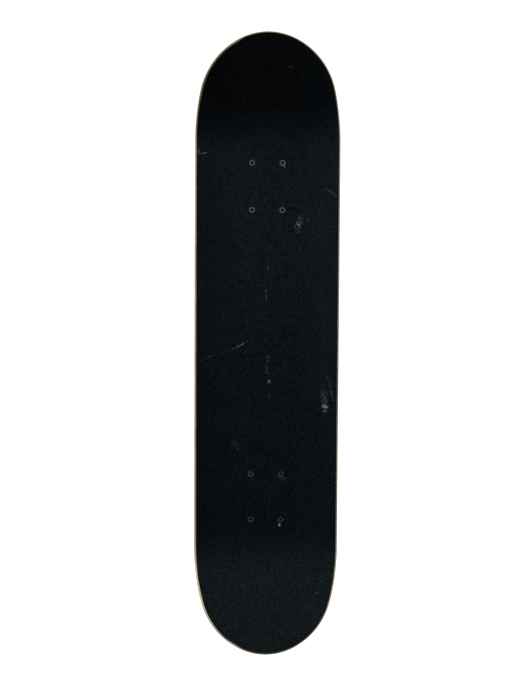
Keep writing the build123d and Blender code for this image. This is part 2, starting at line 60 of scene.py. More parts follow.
def boxMiddle(node):
    low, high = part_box(node)
    return (low + high) / 2


def addPiece(name, mesh, material=None):
    piece = bpy.data.objects.new(name, mesh)
    bpy.context.scene.collection.objects.link(piece)
    if material:
        mesh.materials.clear()
        mesh.materials.append(material)
    return piece


# A finished piece: the body it rides on, a material slot name that is not used, and the imported nodes it
# stands for.
def settle(piece, body, slotName, *replaced):
    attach(piece, body)
    if replaced:
        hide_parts(*replaced)
    return piece


def shadeSmooth(mesh, sharpDegrees=35):
    mesh.shade_smooth()
    mesh.set_sharp_from_angle(angle=radians(sharpDegrees))
    return mesh


def tidyMesh(mesh, sharpDegrees=35, mergeGap=1e-6, thinnest=1e-7):
    shape = bmesh.new()
    shape.from_mesh(mesh)
    bmesh.ops.remove_doubles(shape, verts=shape.verts, dist=mergeGap)
    bmesh.ops.dissolve_degenerate(shape, edges=shape.edges, dist=thinnest)
    bmesh.ops.recalc_face_normals(shape, faces=shape.faces)
    shape.to_mesh(mesh)
    shape.free()
    return shadeSmooth(mesh, sharpDegrees)


def meshFrom(name, points, faces, sharpDegrees=35):
    mesh = bpy.data.meshes.new(name)
    mesh.from_pydata([tuple(p) for p in points], [], faces)
    return tidyMesh(mesh, sharpDegrees)


def pointMesh(name, points):
    mesh = bpy.data.meshes.new(name)
    mesh.from_pydata(points, [], [])
    return mesh


# What a piece's modifiers make of it, as a plain mesh.
def plainMesh(piece):
    bpy.context.view_layer.update()
    mesh = bpy.data.meshes.new_from_object(piece.evaluated_get(bpy.context.evaluated_depsgraph_get()))
    piece.modifiers.clear()
    return mesh


def turnsRound(count):
    return [2 * pi * i / count for i in range(count)]


def roundPoint(radius, turn, z):
    return radius * cos(turn), radius * sin(turn), z


def ringFaces(rows, count, closedRows=False):
    faces = []
    last = rows if closedRows else rows - 1
    for row in range(last):
        nextRow = (row + 1) % rows
        for i in range(count):
            j = (i + 1) % count
            faces.append((row * count + i, row * count + j, nextRow * count + j, nextRow * count + i))
    return faces


# A profile of (radius, height) corners, with every corner rounded off, at most by a share of its sides.
def softened(profile, radius, steps=3, share=0.45):
    rounded = []
    for i, corner in enumerate(profile):
        here = Vector(corner)
        back = Vector(profile[i - 1]) - here
        ahead = Vector(profile[(i + 1) % len(profile)]) - here
        cut = min(radius, back.length * share, ahead.length * share)
        start = here + back.normalized() * cut
        end = here + ahead.normalized() * cut
        for step in range(steps + 1):
            t = step / steps
            rounded.append(tuple(start.lerp(here, t).lerp(here.lerp(end, t), t)))
    return rounded


# The profile of a plain ring.
def sleeve(inner, outer, low, high):
    return [(inner, low), (outer, low), (outer, high), (inner, high)]


def lathe(name, profile, place, material, count=72, closed=True, sharpDegrees=35):
    turns = turnsRound(count)
    points = [place @ Vector(roundPoint(radius, turn, z)) for radius, z in profile for turn in turns]
    faces = ringFaces(len(profile), count, closed)
    return addPiece(name, meshFrom(name, points, faces, sharpDegrees), material)


def joined(name, pieces):
    shape = bmesh.new()
    for piece in pieces:
        shape.from_mesh(piece.data)
    mesh = bpy.data.meshes.new(name)
    shape.to_mesh(mesh)
    shape.free()
    material = pieces[0].data.materials[0]
    for piece in pieces:
        bpy.data.objects.remove(piece)
    return addPiece(name, shadeSmooth(mesh), material)


# Small helpers for node trees.

# Sets a node's inputs: by a link where the value is a socket.
def feed(node, inputs):
    for key, value in inputs.items():
        if isinstance(value, bpy.types.NodeSocket):
            node.id_data.links.new(value, node.inputs[key])
        else:
            node.inputs[key].default_value = value


# Adds a node to the tree that its inputs come from.
def addNode(kind, inputs, **settings):
    tree = next(value.id_data for value in inputs.values() if isinstance(value, bpy.types.NodeSocket))
    node = tree.nodes.new(kind)
    for key, value in settings.items():
        setattr(node, key, value)
    feed(node, inputs)
    return node


def calc(operation, *values):
    return addNode("ShaderNodeMath", dict(enumerate(values)), operation=operation).outputs[0]


# A soft step from one number to another as a value goes from low to high.
def fade(value, low, high, toLow=0.0, toHigh=1.0):
    inputs = {"Value": value, "From Min": low, "From Max": high, "To Min": toLow, "To Max": toHigh}
    return addNode("ShaderNodeMapRange", inputs, interpolation_type="SMOOTHSTEP").outputs["Result"]


# Mixes two colours, each a socket or red, green and blue.
def mix(factor, first, second):
    first, second = (c + (1.0,) if isinstance(c, tuple) else c for c in (first, second))
    return addNode("ShaderNodeMix", {0: factor, 6: first, 7: second}, data_type="RGBA").outputs[2]


def noiseAt(vector, scale, detail=3.0, roughness=0.55, stretch=None):
    if stretch:
        vector = addNode("ShaderNodeMapping", {"Vector": vector, "Scale": stretch}).outputs[0]
    inputs = {"Vector": vector, "Scale": scale, "Detail": detail, "Roughness": roughness}
    return addNode("ShaderNodeTexNoise", inputs).outputs["Fac"]


def attributeOf(surface, name):
    node = surface.id_data.nodes.new("ShaderNodeAttribute")
    node.attribute_name = name
    return node.outputs["Fac"]


def axesOf(vector):
    return addNode("ShaderNodeSeparateXYZ", {0: vector}).outputs


def startMaterial(name):
    material = bpy.data.materials.new(name)
    material.use_nodes = True
    parts = material.node_tree.nodes
    where = parts.new("ShaderNodeTexCoord").outputs["Object"]
    return material, parts["Principled BSDF"], where


def bumpInto(surface, height, strength, distance):
    bump = addNode("ShaderNodeBump", {"Height": height, "Strength": strength, "Distance": distance})
    feed(surface, {"Normal": bump.outputs["Normal"]})


# A tree with its sockets: a number or a triple gives a socket's kind and value, a word its kind alone.
def startTree(name, kind, inputs, outputs):
    tree = bpy.data.node_groups.new(name, kind)
    kinds = {float: "Float", int: "Int", tuple: "Vector"}
    for socketName, value in inputs.items():
        word = kinds.get(type(value), value)
        socket = tree.interface.new_socket(socketName, in_out="INPUT", socket_type="NodeSocket" + word)
        if word != value:
            socket.default_value = value
    for socketName, word in outputs.items():
        tree.interface.new_socket(socketName, in_out="OUTPUT", socket_type="NodeSocket" + word)
    return tree, tree.nodes.new("NodeGroupInput").outputs, tree.nodes.new("NodeGroupOutput").inputs


# Shader groups that several finishes share: each turns a place on the surface into a mask.

def startGroup(name, inputs):
    return startTree(name, "ShaderNodeTree", {"Vector": "Vector"} | inputs, {"Mask": "Float"})


def finishGroup(tree, mask, strength, target):
    tree.links.new(calc("MULTIPLY", mask, strength), target["Mask"])
    return tree


def groupMask(group, inputs):
    return addNode("ShaderNodeGroup", inputs, node_tree=group).outputs["Mask"]


def spreadMask(group, where, scale, amount):
    return groupMask(group, {"Vector": where, "Scale": scale, "Amount": amount})


# One rubbed or scratched mark: a soft oval at a place, turned and broken up by a shared grain.
markForm = {"core": 0.35, "grainSoftness": 0.22}


def makeScuffMark():
    sockets = {"Place": "Vector", "Turn": "Vector", "Half size": (0.01, 0.001, 1.0)}
    sockets |= {"Grain": 0.5, "Cover": 0.5, "Strength": 1.0}
    tree, source, target = startGroup("scuffMark", sockets)
    inputs = {"Vector": source["Vector"], "Location": source["Place"]}
    inputs |= {"Rotation": source["Turn"], "Scale": source["Half size"]}
    own = addNode("ShaderNodeMapping", inputs, vector_type="TEXTURE").outputs[0]
    reach = addNode("ShaderNodeVectorMath", {0: own}, operation="LENGTH").outputs["Value"]
    body = fade(reach, 1.0, markForm["core"])
    edge = calc("SUBTRACT", 1.0, source["Cover"])
    soft = calc("ADD", edge, markForm["grainSoftness"])
    inputs = {"Value": source["Grain"], "From Min": edge, "From Max": soft}
    worn = addNode("ShaderNodeMapRange", inputs).outputs[0]
    return finishGroup(tree, calc("MULTIPLY", body, worn), source["Strength"], target)


# Fine hairline scratches in two crossing directions.
scratchForm = {
    "directions": ((0.35, 34.0), (-0.9, 41.0)),  # turn and thinness
    "lean": 0.6,
    "detail": 4.0,
    "edge": (0.64, 0.74),
}


def makeFineScratches():
    tree, source, target = startGroup("fineScratches", {"Scale": 60.0, "Amount": 0.3})
    total = None
    for turn, thinness in scratchForm["directions"]:
        inputs = {"Vector": source["Vector"], "Rotation": (turn, turn * scratchForm["lean"], turn)}
        turned = addNode("ShaderNodeMapping", inputs).outputs[0]
        inputs = {"Vector": turned, "Scale": (1.0, thinness, 1.0)}
        thin = addNode("ShaderNodeMapping", inputs).outputs[0]
        inputs = {"Vector": thin, "Scale": source["Scale"], "Detail": scratchForm["detail"]}
        lines = addNode("ShaderNodeTexNoise", inputs).outputs["Fac"]
        mark = fade(lines, *scratchForm["edge"])
        total = calc("MAXIMUM", total, mark) if total else mark
    return finishGroup(tree, total, source["Amount"], target)


# Dust and grime that gathers in patches.
grimeForm = {
    "patchGrain": (5.0, 0.62),  # detail and roughness
    "patchEdge": (0.42, 0.72),
    "speckGrain": (1400.0, 2.0, 0.6),  # scale, detail and roughness
    "speckEdge": (0.3, 0.62),
    "betweenSpecks": 0.4,
}


def makeGrime():
    tree, source, target = startGroup("grime", {"Scale": 40.0, "Amount": 0.4})
    broad = noiseAt(source["Vector"], source["Scale"], *grimeForm["patchGrain"])
    fine = noiseAt(source["Vector"], *grimeForm["speckGrain"])
    patches = fade(broad, *grimeForm["patchEdge"])
    specks = fade(fine, *grimeForm["speckEdge"], grimeForm["betweenSpecks"])
    mask = calc("MULTIPLY", patches, specks)
    return finishGroup(tree, mask, source["Amount"], target)


scuffMark = makeScuffMark()
fineScratches = makeFineScratches()
grime = makeGrime()
print("shader groups ready")


# Geometry Nodes: every tree ends in realised instances with a material.

def startGeometryTree(name, inputs):
    shape = {"Geometry": "Geometry"}
    return startTree(name, "GeometryNodeTree", shape | inputs | {"Material": "Material"}, shape)


def finishGeometryTree(tree, geometry, source, target):
    real = addNode("GeometryNodeRealizeInstances", {"Geometry": geometry}).outputs[0]
    coloured = addNode("GeometryNodeSetMaterial", {"Geometry": real, "Material": source["Material"]})
    tree.links.new(coloured.outputs[0], target["Geometry"])
    return tree


# Runs a tree on a mesh and hands back the result as a plain mesh.
def grown(name, baseMesh, tree, values):
    holder = addPiece(name + "Holder", baseMesh)
    modifier = holder.modifiers.new("build", "NODES")
    modifier.node_group = tree
    keys = {item.name: item.identifier for item in tree.interface.items_tree if item.in_out == "INPUT"}
    for socketName, value in values.items():
        modifier[keys[socketName]] = value
    mesh = plainMesh(holder)
    bpy.data.objects.remove(holder)
    mesh.name = name
    return mesh


# The other leg of a right-angled triangle, from its long side and one leg.
def otherLeg(longSide, leg):
    square = calc("MULTIPLY", longSide, longSide)
    rest = calc("SUBTRACT", square, calc("MULTIPLY", leg, leg))
    return calc("SQRT", calc("MAXIMUM", rest, 0.0))


# Press mould: lays a flat sheet into the concave and bends up its two ends, and notes each point's depth.
def makePressMould():
    sockets = {"Top height": 0.09, "Flat half": 0.038, "Concave radius": 0.234}
    sockets |= {"Nose bend": 0.258, "Tail bend": -0.275, "Kick radius": 0.15, "Kick angle": 0.37}
    tree, source, target = startGeometryTree("pressMould", sockets)
    hollowRadius, kickRadius = source["Concave radius"], source["Kick radius"]
    axes = axesOf(tree.nodes.new("GeometryNodeInputPosition").outputs[0])
    depth = calc("MULTIPLY", axes["Z"], -1.0)
    side = calc("SUBTRACT", calc("ABSOLUTE", axes["Y"]), source["Flat half"])
    side = calc("MAXIMUM", side, 0.0)
    arc = calc("ADD", hollowRadius, depth)
    lift = calc("SUBTRACT", hollowRadius, otherLeg(arc, side))
    overNose = calc("SUBTRACT", axes["X"], source["Nose bend"])
    overTail = calc("SUBTRACT", source["Tail bend"], axes["X"])
    past = calc("MAXIMUM", calc("MAXIMUM", overNose, overTail), 0.0)
    bendRadius = calc("SUBTRACT", kickRadius, lift)
    inBend = calc("SUBTRACT", kickRadius, otherLeg(bendRadius, past))
    slope, lean, bendEnd = (
        calc(operation, source["Kick angle"]) for operation in ("TANGENT", "COSINE", "SINE")
    )
    kickStart = calc("MULTIPLY", kickRadius, calc("SUBTRACT", 1.0, lean))
    along = calc("SUBTRACT", past, calc("MULTIPLY", kickRadius, bendEnd))
    onKick = calc("MULTIPLY_ADD", along, slope, kickStart)
    onKick = calc("ADD", onKick, calc("DIVIDE", lift, lean))
    straight = calc("GREATER_THAN", past, calc("MULTIPLY", bendRadius, bendEnd))
    choice = {"Switch": straight, "False": inBend, "True": onKick}
    height = addNode("GeometryNodeSwitch", choice, input_type="FLOAT").outputs[0]
    height = calc("ADD", height, source["Top height"])
    moved = addNode("ShaderNodeCombineXYZ", {"X": axes["X"], "Y": axes["Y"], "Z": height}).outputs[0]
    noted = {"Geometry": source["Geometry"], "Name": "plyDepth", "Value": depth}
    marked = addNode("GeometryNodeStoreNamedAttribute", noted, data_type="FLOAT", domain="POINT")
    bent = addNode("GeometryNodeSetPosition", {"Geometry": marked.outputs[0], "Position": moved})
    return finishGeometryTree(tree, bent.outputs[0], source, target)


pressMould = makePressMould()


# Shape of the moulded deck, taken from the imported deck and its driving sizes.
deckLow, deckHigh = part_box("deck")
deckForm = {
    "halfLength": (deckHigh.x - deckLow.x) / 2,
    "halfWidth": (deckHigh.y - deckLow.y) / 2,
    "thickness": 0.0108,
    "wheelbaseShift": -0.0042,
    "wheelbase": 0.362,
    "boltPitchX": 0.0635,
    "boltPitchY": 0.0413,
    "noseBendPast": 0.018,
    "tailBendPast": 0.026,
    "kickRadius": 0.150,
    "kickAngle": radians(21.0),
    "flatHalf": 0.038,
    "concaveRise": 0.008,
    "noseTip": (0.0915, radians(71.6)),  # radius and sweep
    "tailTip": (0.0930, radians(75.2)),
    "topRound": 0.0018,
    "bottomRound": 0.0036,
    "holeSides": 28,
    "countersink": [(0.0027, -0.02), (0.0027, -0.0015), (0.0041, 0.0), (0.0046, 0.0005)],
}
outlineSteps = {"tip": 40, "shoulder": 24, "side": 150}
deckTop = deckLow.z + deckForm["thickness"]
innerBolt = deckForm["wheelbase"] / 2
outerBolt = innerBolt + deckForm["boltPitchX"]
noseBend = deckForm["wheelbaseShift"] + outerBolt + deckForm["noseBendPast"]
tailBend = deckForm["wheelbaseShift"] - outerBolt - deckForm["tailBendPast"]
concaveRun = deckForm["halfWidth"] - deckForm["flatHalf"]
concaveRadius = (concaveRun**2 + deckForm["concaveRise"] ** 2) / (2 * deckForm["concaveRise"])
boltHoles = [
    (deckForm["wheelbaseShift"] + end * reach, side * deckForm["boltPitchY"] / 2)
    for end in (-1, 1)
    for reach in (innerBolt, outerBolt)
    for side in (-1, 1)
]


# Points round the outline with their outward directions, from the nose tip to the left and back.
def outlinePoints():
    half = deckForm["halfWidth"]
    quarter = {}
    for facing, (radius, sweep) in ((1, deckForm["noseTip"]), (-1, deckForm["tailTip"])):
        tipX = facing * deckForm["halfLength"]
        shoulder = (half - radius * sin(sweep)) / (1 - sin(sweep))
        sideAt = radius + (shoulder - radius) * cos(sweep)
        run = []
        for i in range(outlineSteps["tip"]):
            turn = sweep * i / outlineSteps["tip"]
            x = tipX - facing * radius * (1 - cos(turn))
            run.append((x, radius * sin(turn), facing * cos(turn), sin(turn)))
        for i in range(outlineSteps["shoulder"] + 1):
            turn = sweep + (pi / 2 - sweep) * i / outlineSteps["shoulder"]
            x = tipX - facing * (sideAt - shoulder * cos(turn))
            run.append((x, half - shoulder * (1 - sin(turn)), facing * cos(turn), sin(turn)))
        quarter[facing] = run
    startX, endX = quarter[1][-1][0], quarter[-1][-1][0]
    steps = outlineSteps["side"]
    straight = [(startX + (endX - startX) * i / steps, half, 0.0, 1.0) for i in range(1, steps)]
    left = quarter[1] + straight + list(reversed(quarter[-1]))
    right = [(x, -y, nx, -ny) for x, y, nx, ny in reversed(left[1:-1])]
    return left + right


outline = outlinePoints()
noseCentre = deckForm["halfLength"] - deckForm["noseTip"][0]
tailCentre = deckForm["tailTip"][0] - deckForm["halfLength"]


# A plan point on the way from the outline in to the board's middle line.
def planPoint(spot, inset, share=1.0):
    x, y, nx, ny = spot
    edge = Vector((x - nx * inset, y - ny * inset))
    middle = Vector((min(max(x, tailCentre), noseCentre), 0.0))
    return middle.lerp(edge, share)


# A sheet drawn flat: rings of points, each with its inset, share of the way out and depth below z = 0.
# The trim is a further inset of each point on the outline.
def flatSheet(name, rows, trim=None):
    points = []
    for inset, share, depth in rows:
        for i, spot in enumerate(outline):
            p = planPoint(spot, inset + trim[i] if trim else inset, share)
            points.append((p.x, p.y, -depth))
    return addPiece(name, meshFrom(name, points, ringFaces(len(rows), len(outline))))


# Cuts the bolt holes, each a turned shape with rings of (radius, height).
def cutHoles(piece, rings):
    sides = deckForm["holeSides"]
    points, faces = [], []
    for x, y in boltHoles:
        start = len(points)
        for radius, z in rings:
            for turn in turnsRound(sides):
                points.append((x + radius * cos(turn), y + radius * sin(turn), z))
        faces += [tuple(start + k for k in face) for face in ringFaces(len(rings), sides)]
        faces.append(tuple(start + i for i in range(sides)))
        faces.append(tuple(start + (len(rings) - 1) * sides + i for i in range(sides)))
    cutter = addPiece("holeCutter", meshFrom("holeCutter", points, faces))
    cut = piece.modifiers.new("boltHoles", "BOOLEAN")
    cut.object = cutter
    cut.operation = "DIFFERENCE"
    cut.solver = "EXACT"
    piece.data = shadeSmooth(plainMesh(piece))
    bpy.data.objects.remove(cutter)


def pressed(piece, material):
    values = {
        "Top height": deckTop,
        "Flat half": deckForm["flatHalf"],
        "Concave radius": concaveRadius,
        "Nose bend": noseBend,
        "Tail bend": tailBend,
        "Kick radius": deckForm["kickRadius"],
        "Kick angle": deckForm["kickAngle"],
        "Material": material,
    }
    name = piece.name
    mesh = grown(name, piece.data, pressMould, values)
    bpy.data.objects.remove(piece)
    return addPiece(name, shadeSmooth(mesh), material)


# How far out the rings of a sheet lie: even steps, then closer ones near the rim.
shares = [0.06 * step for step in range(15)] + [0.89, 0.93, 0.96, 0.98, 1.0]


# Deck: seven maple plies, plain lacquered wood below, tan at the edge. Depths count down from the top.
mapleLook = {
    "plies": 7,
    "crossPlies": (2.0, 4.0),
    "plain": (0.66, 0.49, 0.29),
    "flame": (0.52, 0.36, 0.19),
    "grain": (0.35, 0.22, 0.1),
    "shade": (0.38, 0.25, 0.13),
    "crossPale": (0.44, 0.31, 0.17),
    "crossDark": (0.3, 0.2, 0.1),
    "glue": (0.2, 0.12, 0.06),
    "chips": (0.16, 0.13, 0.1),
    "bareRim": (0.77, 0.67, 0.48),
    "dust": (0.3, 0.25, 0.19),
    "scrapes": (0.74, 0.62, 0.43),
    "glueFrom": (0.0008, 0.0016),
    "glueTo": (0.0101, 0.0094),
    "chippedTips": (0.380, 0.407),
    "chippedDepth": (0.004, 0.0095),
    "rimDepth": (0.0030, 0.0008),
    "underside": (0.0100, 0.0106),
}


def makeMaple():
    look = mapleLook
    material, surface, where = startMaterial("mapleDeck")
    depth = attributeOf(surface, "plyDepth")
    ply = calc("DIVIDE", depth, deckForm["thickness"] / look["plies"])
    waver = calc("SUBTRACT", noiseAt(where, 35.0, 2.0), 0.5)
    ply = calc("MULTIPLY_ADD", waver, 0.16, ply)
    layer = calc("FLOOR", ply)
    inLayer = calc("FRACT", ply)
    tone = addNode("ShaderNodeTexWhiteNoise", {"W": layer}, noise_dimensions="1D").outputs["Value"]
    crossPlies = (calc("COMPARE", layer, number, 0.4) for number in look["crossPlies"])
    crossPly = calc("ADD", *crossPlies)
    grain = noiseAt(where, 1.0, 4.0, 0.6, (9.0, 260.0, 260.0))
    flame = noiseAt(where, 1.0, 3.0, 0.5, (5.0, 34.0, 20.0))
    endGrain = noiseAt(where, 1.0, 2.0, 0.5, (900.0, 900.0, 120.0))
    wood = mix(fade(flame, 0.35, 0.68), look["plain"], look["flame"])
    wood = mix(fade(grain, 0.45, 0.75, 0.0, 0.45), wood, look["grain"])
    wood = mix(calc("MULTIPLY", tone, 0.28), wood, look["shade"])
    cross = mix(fade(endGrain, 0.4, 0.65), look["crossPale"], look["crossDark"])
    wood = mix(crossPly, wood, cross)
    underTop, aboveBottom = (fade(depth, *look[key]) for key in ("glueFrom", "glueTo"))
    inside = calc("MULTIPLY", underTop, aboveBottom)
    glue = calc("MULTIPLY", fade(inLayer, 0.10, 0.0), inside)
    wood = mix(calc("MULTIPLY", glue, 0.75), wood, look["glue"])
    fromMiddle = calc("ABSOLUTE", axesOf(where)[0])
    tips = fade(fromMiddle, *look["chippedTips"])
    chips = fade(noiseAt(where, 150.0, 4.0, 0.65), 0.48, 0.62)
    chipped = calc("MULTIPLY", tips, chips)
    chipped = calc("MULTIPLY", chipped, fade(depth, *look["chippedDepth"]))
    wood = mix(calc("MULTIPLY", chipped, 0.75), wood, look["chips"])
    wood = mix(fade(depth, *look["rimDepth"], 0.0, 0.75), wood, look["bareRim"])
    dust = spreadMask(grime, where, 14.0, 0.35)
    wood = mix(dust, wood, look["dust"])
    scrapes = spreadMask(fineScratches, where, 9.0, 0.55)
    scrapes = calc("MULTIPLY", scrapes, fade(depth, *look["underside"]))
    wood = mix(scrapes, wood, look["scrapes"])
    rough = calc("MULTIPLY_ADD", dust, 0.4, 0.42)
    rough = calc("MULTIPLY_ADD", scrapes, 0.3, rough)
    feed(surface, {"Base Color": wood, "Roughness": rough})
    height = calc("MULTIPLY_ADD", glue, -0.6, grain)
    height = calc("MULTIPLY_ADD", chipped, -1.5, height)
    bumpInto(surface, height, 0.35, 0.0002)
    return material


def makeDeck():
    thickness = deckForm["thickness"]
    topRound, bottomRound = deckForm["topRound"], deckForm["bottomRound"]
    topSteps, sideSteps, bottomSteps = 4, 4, 6
    rows = [(topRound, share, 0.0) for share in shares]
    for i in range(1, topSteps + 1):
        turn = pi / 2 * i / topSteps
        rows.append((topRound * (1 - sin(turn)), 1.0, topRound * (1 - cos(turn))))
    for i in range(1, sideSteps + 1):
        rows.append((0.0, 1.0, topRound + (thickness - topRound - bottomRound) * i / sideSteps))
    for i in range(1, bottomSteps + 1):
        turn = pi / 2 * i / bottomSteps
        rows.append((bottomRound * (1 - cos(turn)), 1.0, thickness - bottomRound * (1 - sin(turn))))
    rows += [(bottomRound, share, thickness) for share in reversed(shares[:-1])]
    piece = flatSheet("deckBoard", rows)
    cutHoles(piece, deckForm["countersink"])
    return settle(pressed(piece, mapleDeck), "board", "maple", "deck")


mapleDeck = makeMaple()
deckBoard = makeDeck()
print("deck:", len(deckBoard.data.polygons), "faces")


# Grip sheet: black abrasive, trimmed by hand a little inside the edge, with the marks of use.
gripForm = {
    "thickness": 0.0009,
    "gap": 0.00002,
    "inset": 0.0028,
    "shift": 0.0004,
    "holeRadius": 0.00447,
    "holeEnds": (-0.002, 0.004),
    "wobbles": ((0.00022, 22, 3.0), (0.00011, 140, 9.0)),  # size, waves per metre, seed
    "nicks": [  # x, y, span and depth of each slip of the knife
        (-0.396, -0.045, 0.014, 0.0013),
        (-0.380, -0.064, 0.020, 0.0010),
        (-0.350, -0.085, 0.030, 0.0008),
        (0.395, -0.041, 0.012, 0.0006),
    ],
}
gripLook = {
    "pits": (0.0010, 0.0020, 0.0030),
    "grit": (0.0093, 0.0138, 0.0170),
    # lighter grit specks: painted glints
    "sparkle": (0.0133, 0.0187, 0.0223),
    "worn": (0.56, 0.57, 0.56),
    "filedRim": (0.0027, 0.0023, 0.0020),
    "filedWidth": 0.0026,
    "dust": (0.0233, 0.0267, 0.0283),
    "gloss": 0.033,
}
# Marks of use on the sheet: x and y in mm, turn in degrees, length and width in mm, cover, strength.
gripWear = [
    (-167.4, 43.2, -19, 30.0, 13.0, 0.44, 0.12),
    (-164.3, 42.3, -17, 9.0, 6.4, 0.62, 0.34),
    (-171.3, 55.0, 1, 7.3, 5.1, 0.70, 0.06),
    (-155.4, 43.0, 1, 8.2, 8.5, 0.60, 0.06),
    (69.0, 79.0, 5, 44.0, 13.5, 0.46, 0.08),
    (82.0, 80.4, 78, 11.0, 8.4, 0.66, 0.50),
    (88.5, 80.2, 98, 9.2, 3.4, 0.80, 0.26),
    (60.4, 88.3, 13, 45.3, 3.7, 0.55, 0.06),
    (42.1, 83.4, 17, 9.6, 3.4, 0.70, 0.06),
    (-262.1, -93.0, 5, 14.4, 4.6, 0.66, 0.15),
    (-260.2, -85.8, 105, 14.0, 3.0, 0.85, 0.20),
    (16.8, -81.7, 113, 28.0, 2.4, 0.60, 0.07),
    (-0.2, -37.6, 116, 32.0, 2.2, 0.66, 0.36),
    (9.2, -58.8, 109, 24.0, 2.2, 0.50, 0.025),
    (-108.7, 1.8, 0, 16.5, 5.1, 0.50, 0.07),
    (-69.2, -0.5, 4, 27.7, 5.1, 0.45, 0.07),
    (17.0, 2.2, 0, 13.0, 6.8, 0.50, 0.08),
    (34.2, 1.0, 5, 22.4, 6.8, 0.45, 0.08),
    (48.9, 3.9, 0, 8.4, 5.1, 0.80, 0.24),
    (68.6, 3.4, 0, 14.9, 5.1, 0.50, 0.06),
    (226.9, 5.2, 0, 83.0, 2.4, 0.95, 0.018),
    (-244.6, 22.2, 42, 4.6, 3.6, 0.95, 0.60),
    (247.6, 19.4, 1, 5.2, 4.2, 0.95, 0.80),
    (181.4, 22.3, 72, 17.7, 6.8, 0.60, 0.10),
    (-207.8, 87.7, 51, 26.8, 2.6, 0.66, 0.07),
    (134.6, -42.2, 41, 17.2, 10.2, 0.50, 0.05),
    (142.2, -39.1, 90, 4.7, 3.1, 0.80, 0.10),
    (-368.0, 29.5, 84, 6.6, 2.8, 0.90, 0.14),
    (-326.9, -32.9, 66, 3.9, 3.4, 0.80, 0.08),
    (334.6, 70.0, 68, 3.9, 3.4, 0.80, 0.24),
]


def makeGrip():
    look = gripLook
    material, surface, where = startMaterial("gripSheet")
    coarse = fade(noiseAt(where, 380.0, 4.0, 0.7), 0.32, 0.68)
    fine = noiseAt(where, 1500.0, 2.0, 0.6)
    grit = addNode("ShaderNodeTexVoronoi", {"Vector": where, "Scale": 2600.0}).outputs["Distance"]
    cells = addNode("ShaderNodeTexVoronoi", {"Vector": where, "Scale": 760.0}).outputs["Color"]
    broken = addNode("ShaderNodeSeparateColor", {0: cells}).outputs[0]
    base = mix(coarse, look["pits"], look["grit"])
    # Lighter specks painted into the grit's colour as the glints of its grains.
    base = mix(fade(fine, 0.45, 0.8, 0.0, 0.5), base, look["sparkle"])
    wear = None
    for x, y, turn, length, width, cover, strength in gripWear:
        sockets = {
            "Vector": where,
            "Place": (x / 1000, y / 1000, 0.0),
            "Turn": (0.0, 0.0, radians(turn)),
            "Half size": (length / 2000, width / 2000, 1000.0),  # no end in height
            "Grain": broken,
            "Cover": cover,
            "Strength": strength,
        }
        mask = groupMask(scuffMark, sockets)
        wear = calc("MAXIMUM", wear, mask) if wear else mask
    base = mix(wear, base, look["worn"])
    filed = fade(attributeOf(surface, "rimGap"), look["filedWidth"], 0.0, 0.0, 0.6)
    base = mix(filed, base, look["filedRim"])
    base = mix(spreadMask(grime, where, 18.0, 0.10), base, look["dust"])
    rough = calc("MULTIPLY_ADD", fine, -0.2, 0.95)
    feed(surface, {"Base Color": base, "Roughness": rough, "Specular IOR Level": look["gloss"]})
    height = calc("MULTIPLY_ADD", grit, 0.8, fine)
    height = calc("MULTIPLY_ADD", wear, -0.6, height)
    bumpInto(surface, height, 0.55, 0.00022)
    return material


# How far in the knife went at a spot of the outline: a slow and a quick wobble, and the nicks.
def gripInset(spot):
    x, y, _, ny = spot
    inset = gripForm["inset"] - gripForm["shift"] * ny
    for size, waves, seed in gripForm["wobbles"]:
        inset += size * noise.noise(Vector((x * waves, y * waves, seed)))
    for nickX, nickY, span, deep in gripForm["nicks"]:
        away = hypot(x - nickX, y - nickY) / span
        if away < 1.0:
            inset += deep * (1 - away * away)
    return inset


def makeGripSheet():
    thick, gap = gripForm["thickness"], gripForm["gap"]
    trim = [gripInset(spot) for spot in outline]
    rows = [(0.0, share, -thick) for share in shares]
    rows += [(0.0, 1.0, -thick * 0.5), (0.0, 1.0, -gap)]
    rows += [(0.0, share, -gap) for share in reversed(shares[:-1])]
    piece = flatSheet("gripSheet", rows, trim)
    cutHoles(piece, [(gripForm["holeRadius"], z) for z in gripForm["holeEnds"]])
    piece = pressed(piece, gripMaterial)
    gaps = piece.data.attributes.new("rimGap", "FLOAT", "POINT")
    rim = [planPoint(spot, inset) for spot, inset in zip(outline, trim)]
    for vertex in piece.data.vertices:
        flat = vertex.co.xy
        gaps.data[vertex.index].value = min((spot - flat).length for spot in rim)
    return settle(piece, "board", "grip", "griptape")


gripMaterial = makeGrip()
gripSheet = makeGripSheet()
print("grip:", len(gripSheet.data.polygons), "faces")


# Metals: the grain has a scale and a bump, the scratches a scale and an amount.
metalLook = {
    "darker": 0.72,
    "brighter": 1.35,
    "brightest": 0.95,
    "dust": (0.09, 0.08, 0.07),
    # near black in the bolt sockets and round the head rims: packed dirt, and painted shade in the recess
    # and the crease against the grip
    "packedDirt": (0.012, 0.013, 0.014),
}


